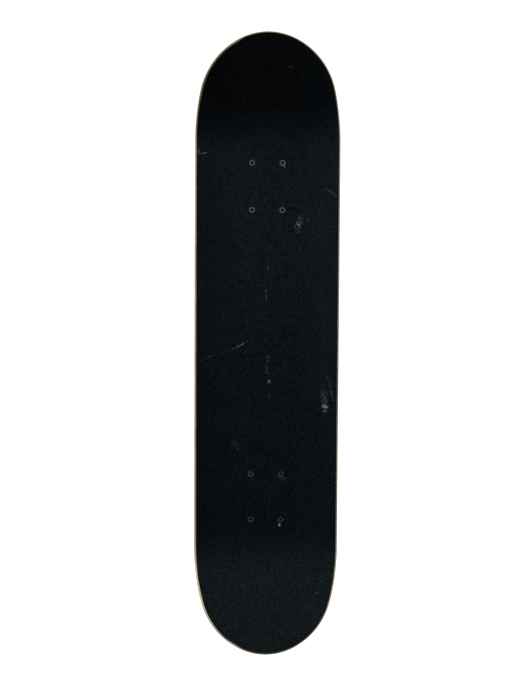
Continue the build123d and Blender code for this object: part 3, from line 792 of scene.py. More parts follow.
def makeMetal(name, colour, roughness, grain, scratches, dirt):
    look = metalLook
    material, surface, where = startMaterial(name)
    grainScale, grainBump = grain
    pits = noiseAt(where, grainScale, 3.0, 0.6)
    broad = noiseAt(where, 55.0, 4.0, 0.6)
    darker = tuple(c * look["darker"] for c in colour)
    bright = tuple(min(c * look["brighter"], look["brightest"]) for c in colour)
    base = mix(fade(broad, 0.35, 0.7), colour, darker)
    scratch = spreadMask(fineScratches, where, *scratches)
    base = mix(scratch, base, bright)
    dust = spreadMask(grime, where, 60.0, dirt)
    base = mix(dust, base, look["dust"])
    # Darkens the marked socket and rim: packed dirt, and painted shade in those recesses.
    dirtAndShade = attributeOf(surface, "packedDirt")
    base = mix(dirtAndShade, base, look["packedDirt"])
    dust = calc("MAXIMUM", dust, dirtAndShade)
    metal = calc("MULTIPLY_ADD", dust, -0.8, 1.0)
    rough = calc("MULTIPLY_ADD", pits, 0.18, roughness - 0.09)
    rough = calc("MULTIPLY_ADD", dust, 0.4, rough)
    rough = calc("MULTIPLY_ADD", scratch, -0.12, rough)
    feed(surface, {"Base Color": base, "Metallic": metal, "Roughness": rough})
    bumpInto(surface, calc("MULTIPLY_ADD", scratch, -0.7, pits), grainBump, 0.00015)
    return material


castMetal = makeMetal("castAluminium", (0.62, 0.625, 0.635), 0.42, (700.0, 0.35), (26.0, 0.5), dirt=0.45)
platedSteel = makeMetal("platedSteel", (0.56, 0.555, 0.55), 0.30, (1200.0, 0.12), (60.0, 0.4), dirt=0.35)
boltSteel = makeMetal("boltSteel", (0.19, 0.2, 0.2), 0.50, (1500.0, 0.25), (120.0, 0.7), dirt=0.5)
# The nose-end bolts get a darker, rougher and dustier copy of the bolt steel; its darker colour is painted
# shade.
shadedDullSteel = makeMetal("dullBoltSteel", (0.14, 0.146, 0.146), 0.55, (1500.0, 0.25), (120.0, 0.7), dirt=0.6)
bearingSteel = makeMetal("bearingSteel", (0.60, 0.60, 0.61), 0.22, (1500.0, 0.06), (90.0, 0.3), dirt=0.3)
shieldSteel = makeMetal("shieldSteel", (0.52, 0.525, 0.54), 0.34, (1800.0, 0.1), (80.0, 0.4), dirt=0.5)
spacerMetal = makeMetal("spacerAluminium", (0.66, 0.66, 0.68), 0.3, (1200.0, 0.1), (60.0, 0.3), dirt=0.15)


nylonLook = {"darker": 0.8, "dust": (0.12, 0.105, 0.09)}


def makeNylon(name, colour, roughness, dirt):
    material, surface, where = startMaterial(name)
    grain = noiseAt(where, 900.0, 2.0)
    broad = noiseAt(where, 90.0, 3.0)
    darker = tuple(c * nylonLook["darker"] for c in colour)
    base = mix(fade(broad, 0.35, 0.7), colour, darker)
    base = mix(spreadMask(grime, where, 70.0, dirt), base, nylonLook["dust"])
    rough = calc("MULTIPLY_ADD", grain, 0.2, roughness - 0.1)
    feed(surface, {"Base Color": base, "Roughness": rough})
    bumpInto(surface, grain, 0.15, 0.0001)
    return material


cupNylon = makeNylon("cupNylon", (0.022, 0.022, 0.024), roughness=0.5, dirt=0.3)
insertNylon = makeNylon("insertNylon", (0.55, 0.56, 0.55), roughness=0.45, dirt=0.3)
cageNylon = makeNylon("cageNylon", (0.75, 0.71, 0.6), roughness=0.5, dirt=0.1)


# Urethane keeps a slight inner glow, and picks up street dirt on the tread.
urethaneLook = {
    "yellowing": (0.93, 0.88, 0.78),
    "treadDirt": (0.27, 0.25, 0.22),
    "dust": (0.33, 0.3, 0.26),
    "scratches": (0.5, 0.47, 0.42),
    "innerGlow": 0.12,
    "glowDepth": 0.004,
}


def makeUrethane(name, colour, treadDirt):
    look = urethaneLook
    material, surface, where = startMaterial(name)
    tread = attributeOf(surface, "treadMask")
    broad = noiseAt(where, 120.0, 4.0, 0.6)
    grain = noiseAt(where, 1100.0, 3.0, 0.6)
    yellowed = tuple(c * share for c, share in zip(colour, look["yellowing"]))
    base = mix(fade(broad, 0.35, 0.7), colour, yellowed)
    scuffed = calc("MULTIPLY", tread, fade(broad, 0.2, 0.7, 0.45, 1.0))
    base = mix(calc("MULTIPLY", scuffed, treadDirt), base, look["treadDirt"])
    base = mix(spreadMask(grime, where, 50.0, 0.35), base, look["dust"])
    base = mix(spreadMask(fineScratches, where, 40.0, 0.35), base, look["scratches"])
    rough = calc("MULTIPLY_ADD", tread, 0.25, 0.38)
    rough = calc("MULTIPLY_ADD", grain, 0.12, rough)
    feed(surface, {"Base Color": base, "Roughness": rough})
    feed(surface, {"Subsurface Weight": look["innerGlow"], "Subsurface Scale": look["glowDepth"]})
    height = calc("MULTIPLY", grain, calc("MULTIPLY_ADD", tread, 0.8, 0.2))
    bumpInto(surface, height, 0.3, 0.0002)
    return material


wheelUrethane = makeUrethane("wheelUrethane", (0.70, 0.67, 0.59), treadDirt=0.85)
bushingUrethane = makeUrethane("bushingUrethane", (0.62, 0.36, 0.07), treadDirt=0.0)
print("materials ready")


# Geometry Nodes: fasteners in their pattern, and a screw thread round a core.

def makeFastenerPattern():
    sockets = {"Fastener": "Object", "Turn spread": 6.28, "Seed": 4}
    tree, source, target = startGeometryTree("fastenerPattern", sockets)
    shape = addNode("GeometryNodeObjectInfo", {"Object": source["Fastener"]}).outputs["Geometry"]
    limits = {"Seed": source["Seed"], 2: 0.0, 3: source["Turn spread"]}
    turn = addNode("FunctionNodeRandomValue", limits, data_type="FLOAT").outputs[1]
    euler = addNode("ShaderNodeCombineXYZ", {"Z": turn}).outputs[0]
    inputs = {"Points": source["Geometry"], "Instance": shape, "Rotation": euler}
    spread = addNode("GeometryNodeInstanceOnPoints", inputs).outputs[0]
    return finishGeometryTree(tree, spread, source, target)


threadForm = {"ridge": 0.42, "turnSteps": 28, "ridgeSides": 6}  # the ridge as a share of the pitch


def makeScrewThread():
    sockets = {"Radius": 0.004, "Pitch": 0.001, "Length": 0.01}
    tree, source, target = startGeometryTree("screwThread", sockets)
    turns = calc("DIVIDE", source["Length"], source["Pitch"])
    ridge = calc("MULTIPLY", source["Pitch"], threadForm["ridge"])
    middle = calc("SUBTRACT", source["Radius"], ridge)
    inputs = {"Resolution": threadForm["turnSteps"], "Rotations": turns, "Height": source["Length"]}
    inputs |= {"Start Radius": middle, "End Radius": middle}
    spiral = addNode("GeometryNodeCurveSpiral", inputs).outputs[0]
    inputs = {"Resolution": threadForm["ridgeSides"], "Radius": ridge}
    crest = addNode("GeometryNodeCurvePrimitiveCircle", inputs).outputs[0]
    inputs = {"Curve": spiral, "Profile Curve": crest, "Fill Caps": True}
    wound = addNode("GeometryNodeCurveToMesh", inputs).outputs[0]
    return finishGeometryTree(tree, wound, source, target)


fastenerPattern = makeFastenerPattern()
screwThread = makeScrewThread()


def thread(name, radius, pitch, length, place, material):
    values = {"Radius": radius, "Pitch": pitch, "Length": length, "Material": material}
    mesh = grown(name, pointMesh(name, []), screwThread, values)
    mesh.transform(place)
    return addPiece(name, tidyMesh(mesh), material)


def fasteners(name, oneFastener, points, seed, material):
    values = {"Fastener": oneFastener, "Turn spread": 2 * pi, "Seed": seed, "Material": material}
    mesh = grown(name, pointMesh(name, points), fastenerPattern, values)
    return addPiece(name, shadeSmooth(mesh), material)


# How far out a hexagon reaches at a turn, from half its width across flats.
def hexReach(half, turn):
    return half / cos((turn + pi / 6) % (pi / 3) - pi / 6)


# A hex nut or head with chamfered corners, standing on z = 0.
hexForm = {"count": 72, "chamfer": 0.94, "chamferSlope": 0.58, "sharpDegrees": 28}


def hexPiece(name, across, height, bore, place, material):
    turns = turnsRound(hexForm["count"])
    half = across / 2
    limit = half / cos(pi / 6) * hexForm["chamfer"]
    rows = [[] for step in range(6)]
    for turn in turns:
        corner = hexReach(half, turn)
        flat = min(corner, limit)
        drop = (corner - flat) * hexForm["chamferSlope"]
        section = [(bore, height), (flat, height), (corner, height - drop)]
        section += [(corner, drop), (flat, 0.0), (bore, 0.0)]
        for row, (radius, z) in zip(rows, section):
            row.append(place @ Vector(roundPoint(radius, turn, z)))
    points = [p for row in rows for p in row]
    faces = ringFaces(len(rows), len(turns), closedRows=bore > 0)
    return addPiece(name, meshFrom(name, points, faces, hexForm["sharpDegrees"]), material)


# Trucks: each stands the same way round, with +X inboard, and the front one is turned about.
axleZ = boxMiddle("rear_axle").z
truckTurns = {"front": Matrix.Rotation(pi, 4, "Z"), "rear": Matrix.Identity(4)}
truckForm = {"kingpinLean": radians(22.0), "plateBottom": 0.0725, "hangerEnd": 0.064}


def kingpinPlace(end):
    ring = Matrix.Translation(joints[end + "_steer"]["pos_m"])
    return ring @ truckTurns[end] @ Matrix.Rotation(-truckForm["kingpinLean"], 4, "Y")


def raised(place, height, upsideDown=False):
    moved = place @ Matrix.Translation((0, 0, height))
    return moved @ Matrix.Rotation(pi, 4, "X") if upsideDown else moved


# Lock nut: chamfered hex, a round collar and the nylon ring that grips the thread.
lockForm = {
    "count": 48,
    "hexShare": 0.62,
    "collarInset": 0.0003,
    "collarDrop": 0.0008,
    "collarTaper": 0.0010,
    "collarRound": 0.0005,
    "ringShare": 0.7,
    "ringSink": 0.0004,
    "ringFlare": 0.0003,
    "ringDrop": 0.0008,
}


def lockNut(name, form, place, material):
    insert, height = form["insert"], form["height"]
    hexHeight = height * lockForm["hexShare"]
    body = hexPiece(name + "Hex", form["across"], hexHeight, form["bore"], place, material)
    radius = form["across"] / 2 - lockForm["collarInset"]
    collar = [
        (insert, hexHeight),
        (radius, hexHeight),
        (radius, height - lockForm["collarDrop"]),
        (radius - lockForm["collarTaper"], height),
        (insert, height),
    ]
    profile = softened(collar, lockForm["collarRound"])
    return joined(name, [body, lathe(name + "Collar", profile, place, material, lockForm["count"])])


def lockRing(name, form, place):
    bore, insert, height = form["bore"], form["insert"], form["height"]
    foot, top = height * lockForm["ringShare"], height - lockForm["ringSink"]
    ring = [
        (bore, foot),
        (insert, foot),
        (insert, top),
        (bore + lockForm["ringFlare"], top),
        (bore, height - lockForm["ringDrop"]),
    ]
    return lathe(name, ring, place, insertNylon, lockForm["count"])


# Mounting bolts: flat heads with a hex socket, a shank and a threaded end.
boltForm = {
    "count": 60,
    "headRadius": 0.00436,
    "headEdge": 0.0004,
    "edgeRound": (0.00012, 0.00008, 0.00026),
    "crown": 0.00002,
    "neck": 0.0040,
    "shankRadius": 0.0024,
    "threadRoot": 0.0002,
    "length": 0.0254,
    "socketAcross": 0.0032,
    "socketDepth": 0.0019,
    "socketCone": 0.0003,
    "socketChamfer": (0.00016, 0.00014),
    "worn": (0.0022, 0.0027, 0.0035, 0.00395),  # rings of the head that wear bright
    "topZ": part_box("rear_mounting_bolts")[1].z,
    "pitch": 0.00079,
    "threadLength": 0.012,
    "threadLead": 0.0004,
    "tipChamfer": (0.0005, 0.0006),
    "rimDirtAndShade": 0.85,
    "dirtAndShadeMargin": 0.0001,
    "sharpDegrees": 30,
}


def oneBolt():
    head, shank, tip = boltForm["headRadius"], boltForm["shankRadius"], -boltForm["length"]
    root, edge, sink = shank - boltForm["threadRoot"], -boltForm["headEdge"], -boltForm["socketDepth"]
    worn, crown = boltForm["worn"], boltForm["crown"]
    flare, flareDepth = boltForm["socketChamfer"]
    roundIn, roundTop, roundLow = boltForm["edgeRound"]
    taper, taperLength = boltForm["tipChamfer"]
    rings = [  # share of the socket's hexagon, radius, height
        (0, 0.0, sink - boltForm["socketCone"]),
        (1, 0.0, sink),
        (1, 0.0, -flareDepth),
        (1, flare, 0.0),
        (0, worn[0], crown / 2),
        (0, worn[1], crown),
        (0, worn[2], crown),
        (0, worn[3], crown / 2),
        (0, head - roundIn, -roundTop),
        (0, head, -roundLow),
        (0, head, edge),
        (0, shank, edge - head + shank),
        (0, root, -boltForm["neck"]),
        (0, root, tip + taperLength),
        (0, root - taper, tip),
        (0, 0.0, tip),
    ]
    turns = turnsRound(boltForm["count"])
    half = boltForm["socketAcross"] / 2
    points = [
        roundPoint(radius + hexShare * hexReach(half, turn), turn, z)
        for hexShare, radius, z in rings
        for turn in turns
    ]
    mesh = meshFrom("boltBody", points, ringFaces(len(rings), len(turns)), boltForm["sharpDegrees"])
    # Marks the socket fully and the head's rim mostly for darkening: packed dirt, and painted shade in the
    # recess and the crease against the grip.
    dirtAndShade = mesh.attributes.new("packedDirt", "FLOAT", "POINT")
    margin, socketEnd = boltForm["dirtAndShadeMargin"], sink - boltForm["socketCone"] - boltForm["dirtAndShadeMargin"]
    for vertex in mesh.vertices:
        reach = vertex.co.xy.length
        inSocket = reach < worn[0] + margin and vertex.co.z > socketEnd
        onRim = reach > worn[3] - margin
        dirtAndShade.data[vertex.index].value = 1.0 if inSocket else boltForm["rimDirtAndShade"] if onRim else 0.0
    start = Matrix.Translation((0, 0, tip + boltForm["threadLead"]))
    wound = thread("boltThread", shank, boltForm["pitch"], boltForm["threadLength"], start, boltSteel)
    return joined("oneBolt", [addPiece("boltBody", mesh, boltSteel), wound])


nutForm = {"across": 0.0095, "height": 0.0058, "bore": 0.00242, "insert": 0.0036}
bolt = oneBolt()
hangDown = Matrix.Rotation(pi, 4, "X")
nut = lockNut("oneMountNut", nutForm, hangDown, platedSteel)
nutRing = lockRing("oneMountRing", nutForm, hangDown)
# The nose-end bolts take the darker copy of the bolt steel, with painted shade in its colour.
for end, seed, finish in (("front", 11, shadedDullSteel), ("rear", 23, boltSteel)):
    holes = [(x, y) for x, y in boltHoles if (x > 0) == (end == "front")]
    above = [(x, y, boltForm["topZ"]) for x, y in holes]
    under = [(x, y, truckForm["plateBottom"]) for x, y in holes]
    heads = fasteners(end + "MountBolts", bolt, above, seed, finish)
    settle(heads, "board", "hardware", end + "_mounting_bolts")
    nutSet = fasteners(end + "MountNuts", nut, under, seed + 1, platedSteel)
    settle(nutSet, "board", "hardware", end + "_mounting_nuts")
    ringSet = fasteners(end + "MountNutRings", nutRing, under, seed + 1, insertNylon)
    settle(ringSet, "board", "cup")
for spare in (bolt, nut, nutRing):
    bpy.data.objects.remove(spare)
print("mounting bolts and nuts placed")


# Kingpin, its nut, the cupped washers and the two bushings, along the leaning kingpin.
kingpinForm = {
    "count": 40,
    "radius": 0.00476,
    "end": -0.0265,
    "seat": 0.023,
    "headAcross": 0.014,
    "headHeight": 0.006,
    "pitch": 0.00106,
    "threadLength": 0.015,
    "threadRoot": 0.0005,
    "threadLead": 0.0004,
    "runOut": 0.0006,
    "tipChamfer": 0.0008,
    "tipTaper": 0.0012,
}
kingNutForm = {"across": 0.0143, "height": 0.0084, "bore": 0.00478, "insert": 0.0061, "top": -0.0155}
bushingForm = {
    "radius": 0.0115,
    "bore": 0.00495,
    "neck": 0.0083,
    "seat": 0.0025,
    "neckEnd": 0.0003,
    "boardTop": 0.0155,
    "roadEnd": -0.014,
    "roadSmall": 0.009,
    "bulge": 0.00024,
    "shoulder": 0.003,
    "seatTaper": 0.0004,
    "topTaper": 0.0006,
    "roadTaper": 0.0001,
    "round": 0.0009,
}
washerForm = {
    "count": 64,
    "boardRadius": 0.0125,
    "boardTop": 0.017,
    "roadRadius": 0.0106,
    "clearance": 0.0001,
    "lip": 0.0013,
    "sheet": 0.0014,
    "lipSheet": (0.0007, 0.0009),
    "corner": (0.0010, 0.0008),
    "round": 0.0004,
}


# The threaded end of a rod: (radius, distance from the tip), out to where the plain rod starts.
def rodTip(form):
    radius, root = form["radius"], form["radius"] - form["threadRoot"]
    return [
        (0.0, 0.0),
        (radius - form["tipTaper"], 0.0),
        (root, form["tipChamfer"]),
        (root, form["threadLength"]),
        (radius, form["threadLength"] + form["runOut"]),
    ]


def kingpinPieces(end):
    form = kingpinForm
    place = kingpinPlace(end)
    shaft = [(radius, form["end"] + up) for radius, up in rodTip(form)]
    shaft += [(form["radius"], form["seat"]), (0.0, form["seat"])]
    core = lathe(end + "KingpinShaft", shaft, place, platedSteel, form["count"], closed=False)
    top = raised(place, form["seat"])
    head = hexPiece(end + "KingpinHead", form["headAcross"], form["headHeight"], 0.0, top, platedSteel)
    start = raised(place, form["end"] + form["threadLead"])
    size = form["radius"], form["pitch"], form["threadLength"]
    wound = thread(end + "KingpinThread", *size, start, platedSteel)
    settle(joined(end + "Kingpin", [core, head, wound]), "board", "steel", end + "_kingpin")
    under = raised(place, kingNutForm["top"], upsideDown=True)
    nut = lockNut(end + "KingpinNut", kingNutForm, under, platedSteel)
    settle(nut, "board", "steel", end + "_kingpin_nut")
    settle(lockRing(end + "KingpinNutRing", kingNutForm, under), "board", "cup")


def cupWasher(name, radius, place, facing):
    bore = kingpinForm["radius"] + washerForm["clearance"]
    sheet = -washerForm["sheet"] * facing
    rim = -(washerForm["sheet"] + washerForm["lip"]) * facing
    cornerIn, cornerDown = washerForm["corner"]
    rimIn, footIn = washerForm["lipSheet"]
    profile = [
        (bore, 0.0),
        (radius - cornerIn, 0.0),
        (radius, -cornerDown * facing),
        (radius, rim),
        (radius - rimIn, rim),
        (radius - footIn, sheet),
        (bore, sheet),
    ]
    return lathe(name, softened(profile, washerForm["round"]), place, platedSteel, washerForm["count"])


# Each bushing is squeezed between its end on the board's side and its seat in the hanger.
def bushing(name, profile, place, node):
    piece = lathe(name, softened(profile, bushingForm["round"]), place, bushingUrethane)
    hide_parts(node)
    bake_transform(piece)


def bushingPieces(end):
    form = bushingForm
    place = kingpinPlace(end)
    radius, bore, neck, seat = form["radius"], form["bore"], form["neck"], form["seat"]
    top, low, neckEnd, shoulder = form["boardTop"], form["roadEnd"], form["neckEnd"], form["shoulder"]
    barrel = [
        (bore, neckEnd),
        (neck, neckEnd),
        (neck, seat),
        (radius - form["seatTaper"], seat),
        (radius, seat + shoulder),
        (radius + form["bulge"], (seat + top) / 2),
        (radius, top - shoulder),
        (radius - form["topTaper"], top),
        (bore, top),
    ]
    bushing(end + "BoardsideBushing", barrel, place, end + "_boardside_bushing")
    cone = [
        (bore, -neckEnd),
        (neck, -neckEnd),
        (neck, -seat),
        (radius - form["seatTaper"], -seat),
        (radius - form["roadTaper"], -seat - shoulder),
        (form["roadSmall"], low),
        (bore, low),
    ]
    bushing(end + "RoadsideBushing", cone, place, end + "_roadside_bushing")
    onBoss, onNut = raised(place, washerForm["boardTop"]), raised(place, kingNutForm["top"])
    upper = cupWasher(end + "BoardsideWasher", washerForm["boardRadius"], onBoss, 1)
    settle(upper, "board", "steel", end + "_boardside_washer")
    lower = cupWasher(end + "RoadsideWasher", washerForm["roadRadius"], onNut, -1)
    settle(lower, "board", "steel", end + "_roadside_washer")


# Castings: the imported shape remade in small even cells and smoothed, so that every corner is soft.
castForm = {"cell": 0.0006, "smoothing": 7, "factor": 0.5}


def casting(name, node, body):
    piece = addPiece(name, tidyMesh(nodes[node].data.copy()), castMetal)
    melt = piece.modifiers.new("melt", "REMESH")
    melt.mode = "VOXEL"
    melt.voxel_size = castForm["cell"]
    soften = piece.modifiers.new("soften", "SMOOTH")
    soften.factor = castForm["factor"]
    soften.iterations = castForm["smoothing"]
    mesh = plainMesh(piece)
    mesh.materials.clear()
    mesh.materials.append(castMetal)
    mesh.shade_smooth()
    piece.data = mesh
    print(name, len(mesh.polygons), "faces")
    settle(piece, body, "cast", node)


for end in truckTurns:
    kingpinPieces(end)
    bushingPieces(end)
    casting(end + "Baseplate", end + "_baseplate", "board")
    casting(end + "Hanger", end + "_hanger", end + "_truck")
    nodes[end + "_pivot_cup"].material_slots[0].material = cupNylon
print("kingpins, bushings and washers placed")


# Axles with threaded ends, speed washers and lock nuts.
axleForm = {
    "count": 40,
    "radius": 0.00397,
    "half": (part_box("rear_axle")[1].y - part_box("rear_axle")[0].y) / 2,
    "pitch": 0.00106,
    "threadLength": 0.009,
    "threadRoot": 0.0005,
    "threadLead": 0.0010,
    "runOut": 0.0005,
    "tipChamfer": 0.0008,
    "tipTaper": 0.0013,
    "washerCount": 48,
    "washerBore": 0.00407,
    "washerRadius": 0.0062,
    "washerSheet": 0.001,
    "washerRound": 0.0002,
    "outerWasher": 0.089,
}
axleNutForm = {"across": 0.0127, "height": 0.0064, "bore": 0.004, "insert": 0.0052}


def axlePieces(end):
    form = axleForm
    half, sheet = form["half"], form["washerSheet"]
    middle = Matrix.Translation((boxMiddle(end + "_axle").x, 0, axleZ))
    rod = [(form["radius"], 0.0)] + [(radius, half - back) for radius, back in reversed(rodTip(form))]
    threadSize = form["radius"], form["pitch"], form["threadLength"] - form["threadLead"]
    disc = softened(sleeve(form["washerBore"], form["washerRadius"], 0.0, sheet), form["washerRound"])
    rods, nuts, rings, washers = [], [], [], []
    for side in (-1, 1):
        place = middle @ Matrix.Rotation(-side * pi / 2, 4, "X")
        rods.append(lathe(end + "AxleRod", rod, place, platedSteel, form["count"], closed=False))
        start = raised(place, half - form["threadLength"])
        rods.append(thread(end + "AxleThread", *threadSize, start, platedSteel))
        seat = raised(place, form["outerWasher"] + sheet)
        nuts.append(lockNut(end + "AxleNutSide", axleNutForm, seat, platedSteel))
        rings.append(lockRing(end + "AxleRing", axleNutForm, seat))
        for foot in (truckForm["hangerEnd"], form["outerWasher"]):
            spot = raised(place, foot)
            washers.append(lathe(end + "SpeedWasher", disc, spot, platedSteel, form["washerCount"]))
    truck = end + "_truck"
    settle(joined(end + "Axle", rods), truck, "steel", end + "_axle")
    settle(joined(end + "AxleNuts", nuts), truck, "hardware", end + "_axle_nuts")
    settle(joined(end + "AxleNutRings", rings), truck, "cup")
    settle(joined(end + "AxleWashers", washers), truck, "steel", end + "_axle_washers")


for end in truckTurns:
    axlePieces(end)
print("axles placed")


# Wheels: a turned profile with a dished side, then the bearings in their seats.
wheelForm = {
    "count": 120,
    "radius": 0.026,
    "half": 0.0155,
    "hub": 0.012,
    "seat": 0.011,
    "seatChamfer": 0.0003,
    "shoulder": 0.005,
    "inner": 0.0094,
    "dishFoot": ((0.0131, 0.0), (0.0138, 0.0003), (0.0146, 0.0012)),  # radius, rise above the hub
    "dishTop": ((0.0160, 0.0009), (0.0170, 0.0002), (0.0180, 0.0)),  # radius, drop below the side
    "sideFlat": 0.0192,
    "treadHalf": 0.008,
    "treadRings": (0.66, 0.33),
    "lipSteps": 12,
    "dirtStart": 0.0238,
    "dirtFade": 0.0019,
    "sharpDegrees": 32,
}
bearingForm = {
    "outerCount": 72,
    "innerCount": 60,
    "centre": 0.0085,
    "half": 0.0035,
    "outer": 0.011,
    "outerLand": 0.009,
    "outerRound": 0.00025,
    "recess": 0.0096,
    "recessDepth": 0.0007,
    "inner": 0.004,
    "innerLand": 0.00605,
    "innerRound": 0.0003,
    "shieldInner": 0.0064,
    "shieldLip": 0.0004,
    "shieldStep": (0.0078, 0.0083),
    "shieldSink": 0.0003,
    "shieldSheet": 0.00034,
    "shieldBend": 0.0001,
    "shieldFront": (1.4, 0.7, 0.5),  # sheets below the rim: lip, its bend and the step
    "shieldBack": (2.2, 1.7, 1.5),
}


def wheelProfile():
    form = wheelForm
    inner, seat, hub, half = form["inner"], form["seat"], form["hub"], form["half"]
    chamfer, flat, treadHalf = form["seatChamfer"], form["sideFlat"], form["treadHalf"]
    side = [(inner, 0.0), (inner, form["shoulder"]), (seat, form["shoulder"])]
    side += [(seat, hub - chamfer), (seat + chamfer, hub)]
    side += [(radius, hub + rise) for radius, rise in form["dishFoot"]]
    side += [(radius, half - drop) for radius, drop in form["dishTop"]]
    side.append((flat, half))
    for i in range(1, form["lipSteps"] + 1):
        turn = pi / 2 * i / form["lipSteps"]
        reach = flat + (form["radius"] - flat) * sin(turn)
        side.append((reach, treadHalf + (half - treadHalf) * cos(turn)))
    side += [(form["radius"], treadHalf * share) for share in form["treadRings"]]
    mirrored = [(radius, -height) for radius, height in reversed(side[1:])]
    return side + [(form["radius"], 0.0)] + mirrored


def outerRingProfile():
    form = bearingForm
    half, deep = form["half"], form["half"] - form["recessDepth"]
    outer, recess, land = form["outer"], form["recess"], form["outerLand"]
    ring = [(outer, -half), (outer, half), (recess, half), (recess, deep)]
    ring += [(land, deep), (land, -deep), (recess, -deep), (recess, -half)]
    return softened(ring, form["outerRound"])


# A pressed shield with a step between its lip and its rim, on the side that it faces.
def shieldProfile(facing):
    form = bearingForm
    z = facing * (form["half"] - form["shieldSink"])
    back = facing * form["shieldSheet"]
    inner, lip = form["shieldInner"], form["shieldInner"] + form["shieldLip"]
    stepIn, stepOut = form["shieldStep"]
    bend = form["shieldBend"]
    front = zip((inner, lip, stepIn), form["shieldFront"])
    rear = zip((inner, lip, stepIn + bend), form["shieldBack"])
    profile = [(radius, z - back * sheets) for radius, sheets in front]
    profile += [(stepOut, z), (form["recess"], z), (form["recess"], z - back), (stepOut + bend, z - back)]
    return profile + [(radius, z - back * sheets) for radius, sheets in reversed(list(rear))]


def wheelPieces(corner):
    end, hand = corner.split("_")
    wheelName = end + hand.capitalize()
    side = 1 if hand == "left" else -1
    middle = boxMiddle(corner + "_wheel")
    place = Matrix.Translation(middle) @ Matrix.Rotation(-side * pi / 2, 4, "X")
    roller = corner + "_roller"
    sharp = wheelForm["sharpDegrees"]
    tyre = lathe(
        wheelName + "Wheel", wheelProfile(), place, wheelUrethane, wheelForm["count"], sharpDegrees=sharp
    )
    masks = tyre.data.attributes.new("treadMask", "FLOAT", "POINT")
    for vertex in tyre.data.vertices:
        reach = hypot(vertex.co.x - middle.x, vertex.co.z - middle.z)
        dirt = (reach - wheelForm["dirtStart"]) / wheelForm["dirtFade"]
        masks.data[vertex.index].value = min(max(dirt, 0.0), 1.0)
    settle(tyre, roller, "urethane", corner + "_wheel")
    form = bearingForm
    outerCount, innerCount = form["outerCount"], form["innerCount"]
    innerRing = sleeve(form["inner"], form["innerLand"], -form["half"], form["half"])
    innerRing = softened(innerRing, form["innerRound"])
    outers, inners, shields = [], [], []
    for facing in (-1, 1):
        seat = raised(place, facing * form["centre"])
        outers.append(lathe(wheelName + "OuterRing", outerRingProfile(), seat, bearingSteel, outerCount))
        inners.append(lathe(wheelName + "InnerRing", innerRing, seat, bearingSteel, innerCount))
        for face in (-1, 1):
            shields.append(lathe(wheelName + "Shield", shieldProfile(face), seat, shieldSteel, innerCount))
    for name, pieces, body, node in (
        ("OuterRings", outers, roller, "_bearing_outer_rings"),
        ("InnerRings", inners, end + "_truck", "_bearing_inner_rings"),
        ("Shields", shields, roller, "_bearing_shields"),
    ):
        settle(joined(wheelName + name, pieces), body, "bearing_steel", corner + node)
    for name, finish in (("balls", bearingSteel), ("cages", cageNylon), ("spacer", spacerMetal)):
        nodes[corner + "_bearing_" + name].material_slots[0].material = finish


for corner in ("front_left", "front_right", "rear_left", "rear_right"):
    wheelPieces(corner)
print("wheels and bearings placed")


# Floor, light and camera.
studio = {
    "floorSize": 6.0,
    "floorTones": ((0.40, 0.40, 0.40), (0.43, 0.43, 0.43)),
    "floorGrain": (3.0, 2.0),
    "floorRoughness": 0.9,
    "floorGloss": 0.1,
    "floorBounce": 0.12,
    "air": 0.147,
    "backdrop": 1.35,
    "white": (1, 1, 1, 1),
    "aim": (0.0, 0.0, 0.09),
    "lampSize": 0.5,
    "lamps": {"rightKey": ((-1.2, -0.8, 0.35), 38.4), "leftKey": ((-1.2, 0.6, 0.35), 13.8)},
}


# The floor sends light back up to the board, and melts into the white air for the camera.
def makeFloor():
    material, surface, where = startMaterial("paleFloor")
    base = mix(noiseAt(where, *studio["floorGrain"]), *studio["floorTones"])
    feed(surface, {"Base Color": base, "Roughness": studio["floorRoughness"]})
    feed(surface, {"Specular IOR Level": studio["floorGloss"]})
    feed(surface, {"Emission Color": studio["white"], "Emission Strength": studio["floorBounce"]})
    tree = material.node_tree
    seen = tree.nodes.new("ShaderNodeLightPath").outputs["Is Camera Ray"]
    below = tree.nodes.new("ShaderNodeNewGeometry").outputs["Backfacing"]
    through = calc("MAXIMUM", seen, below)
    clear = tree.nodes.new("ShaderNodeBsdfTransparent").outputs[0]
    sides = addNode("ShaderNodeMixShader", {0: through, 1: surface.outputs[0], 2: clear})
    feed(tree.nodes["Material Output"], {"Surface": sides.outputs[0]})
    half = studio["floorSize"] / 2
    corners = [(-half, -half, 0), (half, -half, 0), (half, half, 0), (-half, half, 0)]
    mesh = bpy.data.meshes.new("paleFloor")
    mesh.from_pydata(corners, [], [(0, 1, 2, 3)])
    addPiece("paleFloor", mesh, material)


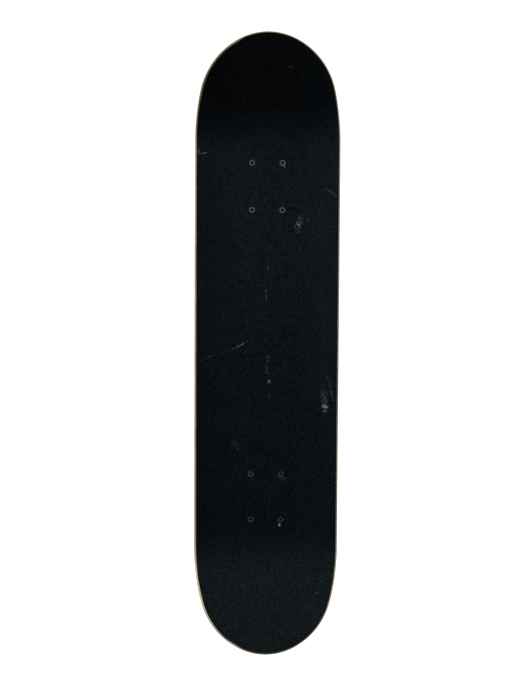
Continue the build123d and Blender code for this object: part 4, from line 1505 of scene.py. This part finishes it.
def makeLamps():
    for name, (at, power) in studio["lamps"].items():
        data = bpy.data.lights.new(name, "AREA")
        data.shape = "DISK"
        data.size = studio["lampSize"]
        data.energy = power
        lamp = bpy.data.objects.new(name, data)
        lamp.location = at
        lamp.rotation_euler = (Vector(studio["aim"]) - Vector(at)).to_track_quat("-Z", "Y").to_euler()
        lamp.visible_camera = False
        bpy.context.scene.collection.objects.link(lamp)


# Soft air light, seen as plain white by the camera.
def makeWorld():
    world = bpy.data.worlds.new("studioAir")
    world.use_nodes = True
    tree = world.node_tree
    seen = tree.nodes.new("ShaderNodeLightPath").outputs["Is Camera Ray"]
    strength = calc("MULTIPLY_ADD", seen, studio["backdrop"] - studio["air"], studio["air"])
    feed(tree.nodes["Background"], {"Color": studio["white"], "Strength": strength})
    bpy.context.scene.world = world
    bpy.context.scene.view_settings.view_transform = "Standard"


# The camera looks almost straight down, with the tail at the top of the frame.
cameraView = {
    "above": 0.950,
    "toTail": 0.0282,
    "toRight": 0.0054,
    "tilt": radians(2.28),
    "roll": radians(0.30),
    "lens": 35.64,
    "sensor": 36.0,
}


def makeCamera():
    data = bpy.data.cameras.new("photoCamera")
    data.lens = cameraView["lens"]
    data.sensor_width = cameraView["sensor"]
    data.sensor_fit = "AUTO"
    camera = bpy.data.objects.new("photoCamera", data)
    tilt, roll = cameraView["tilt"], cameraView["roll"]
    ahead = Vector((sin(tilt), 0, -cos(tilt)))
    up = Vector((-cos(tilt), 0, -sin(tilt)))
    right = Vector((0, 1, 0))
    turnedRight = right * cos(roll) + up * sin(roll)
    turnedUp = up * cos(roll) - right * sin(roll)
    at = Vector((deckForm["wheelbaseShift"] - cameraView["toTail"], -cameraView["toRight"], 0))
    at.z = deckTop + cameraView["above"]
    facing = Matrix((turnedRight, turnedUp, -ahead)).transposed()
    camera.matrix_world = Matrix.Translation(at) @ facing.to_4x4()
    bpy.context.scene.collection.objects.link(camera)
    bpy.context.scene.camera = camera


makeFloor()
makeWorld()
makeLamps()
makeCamera()
print("studio ready")
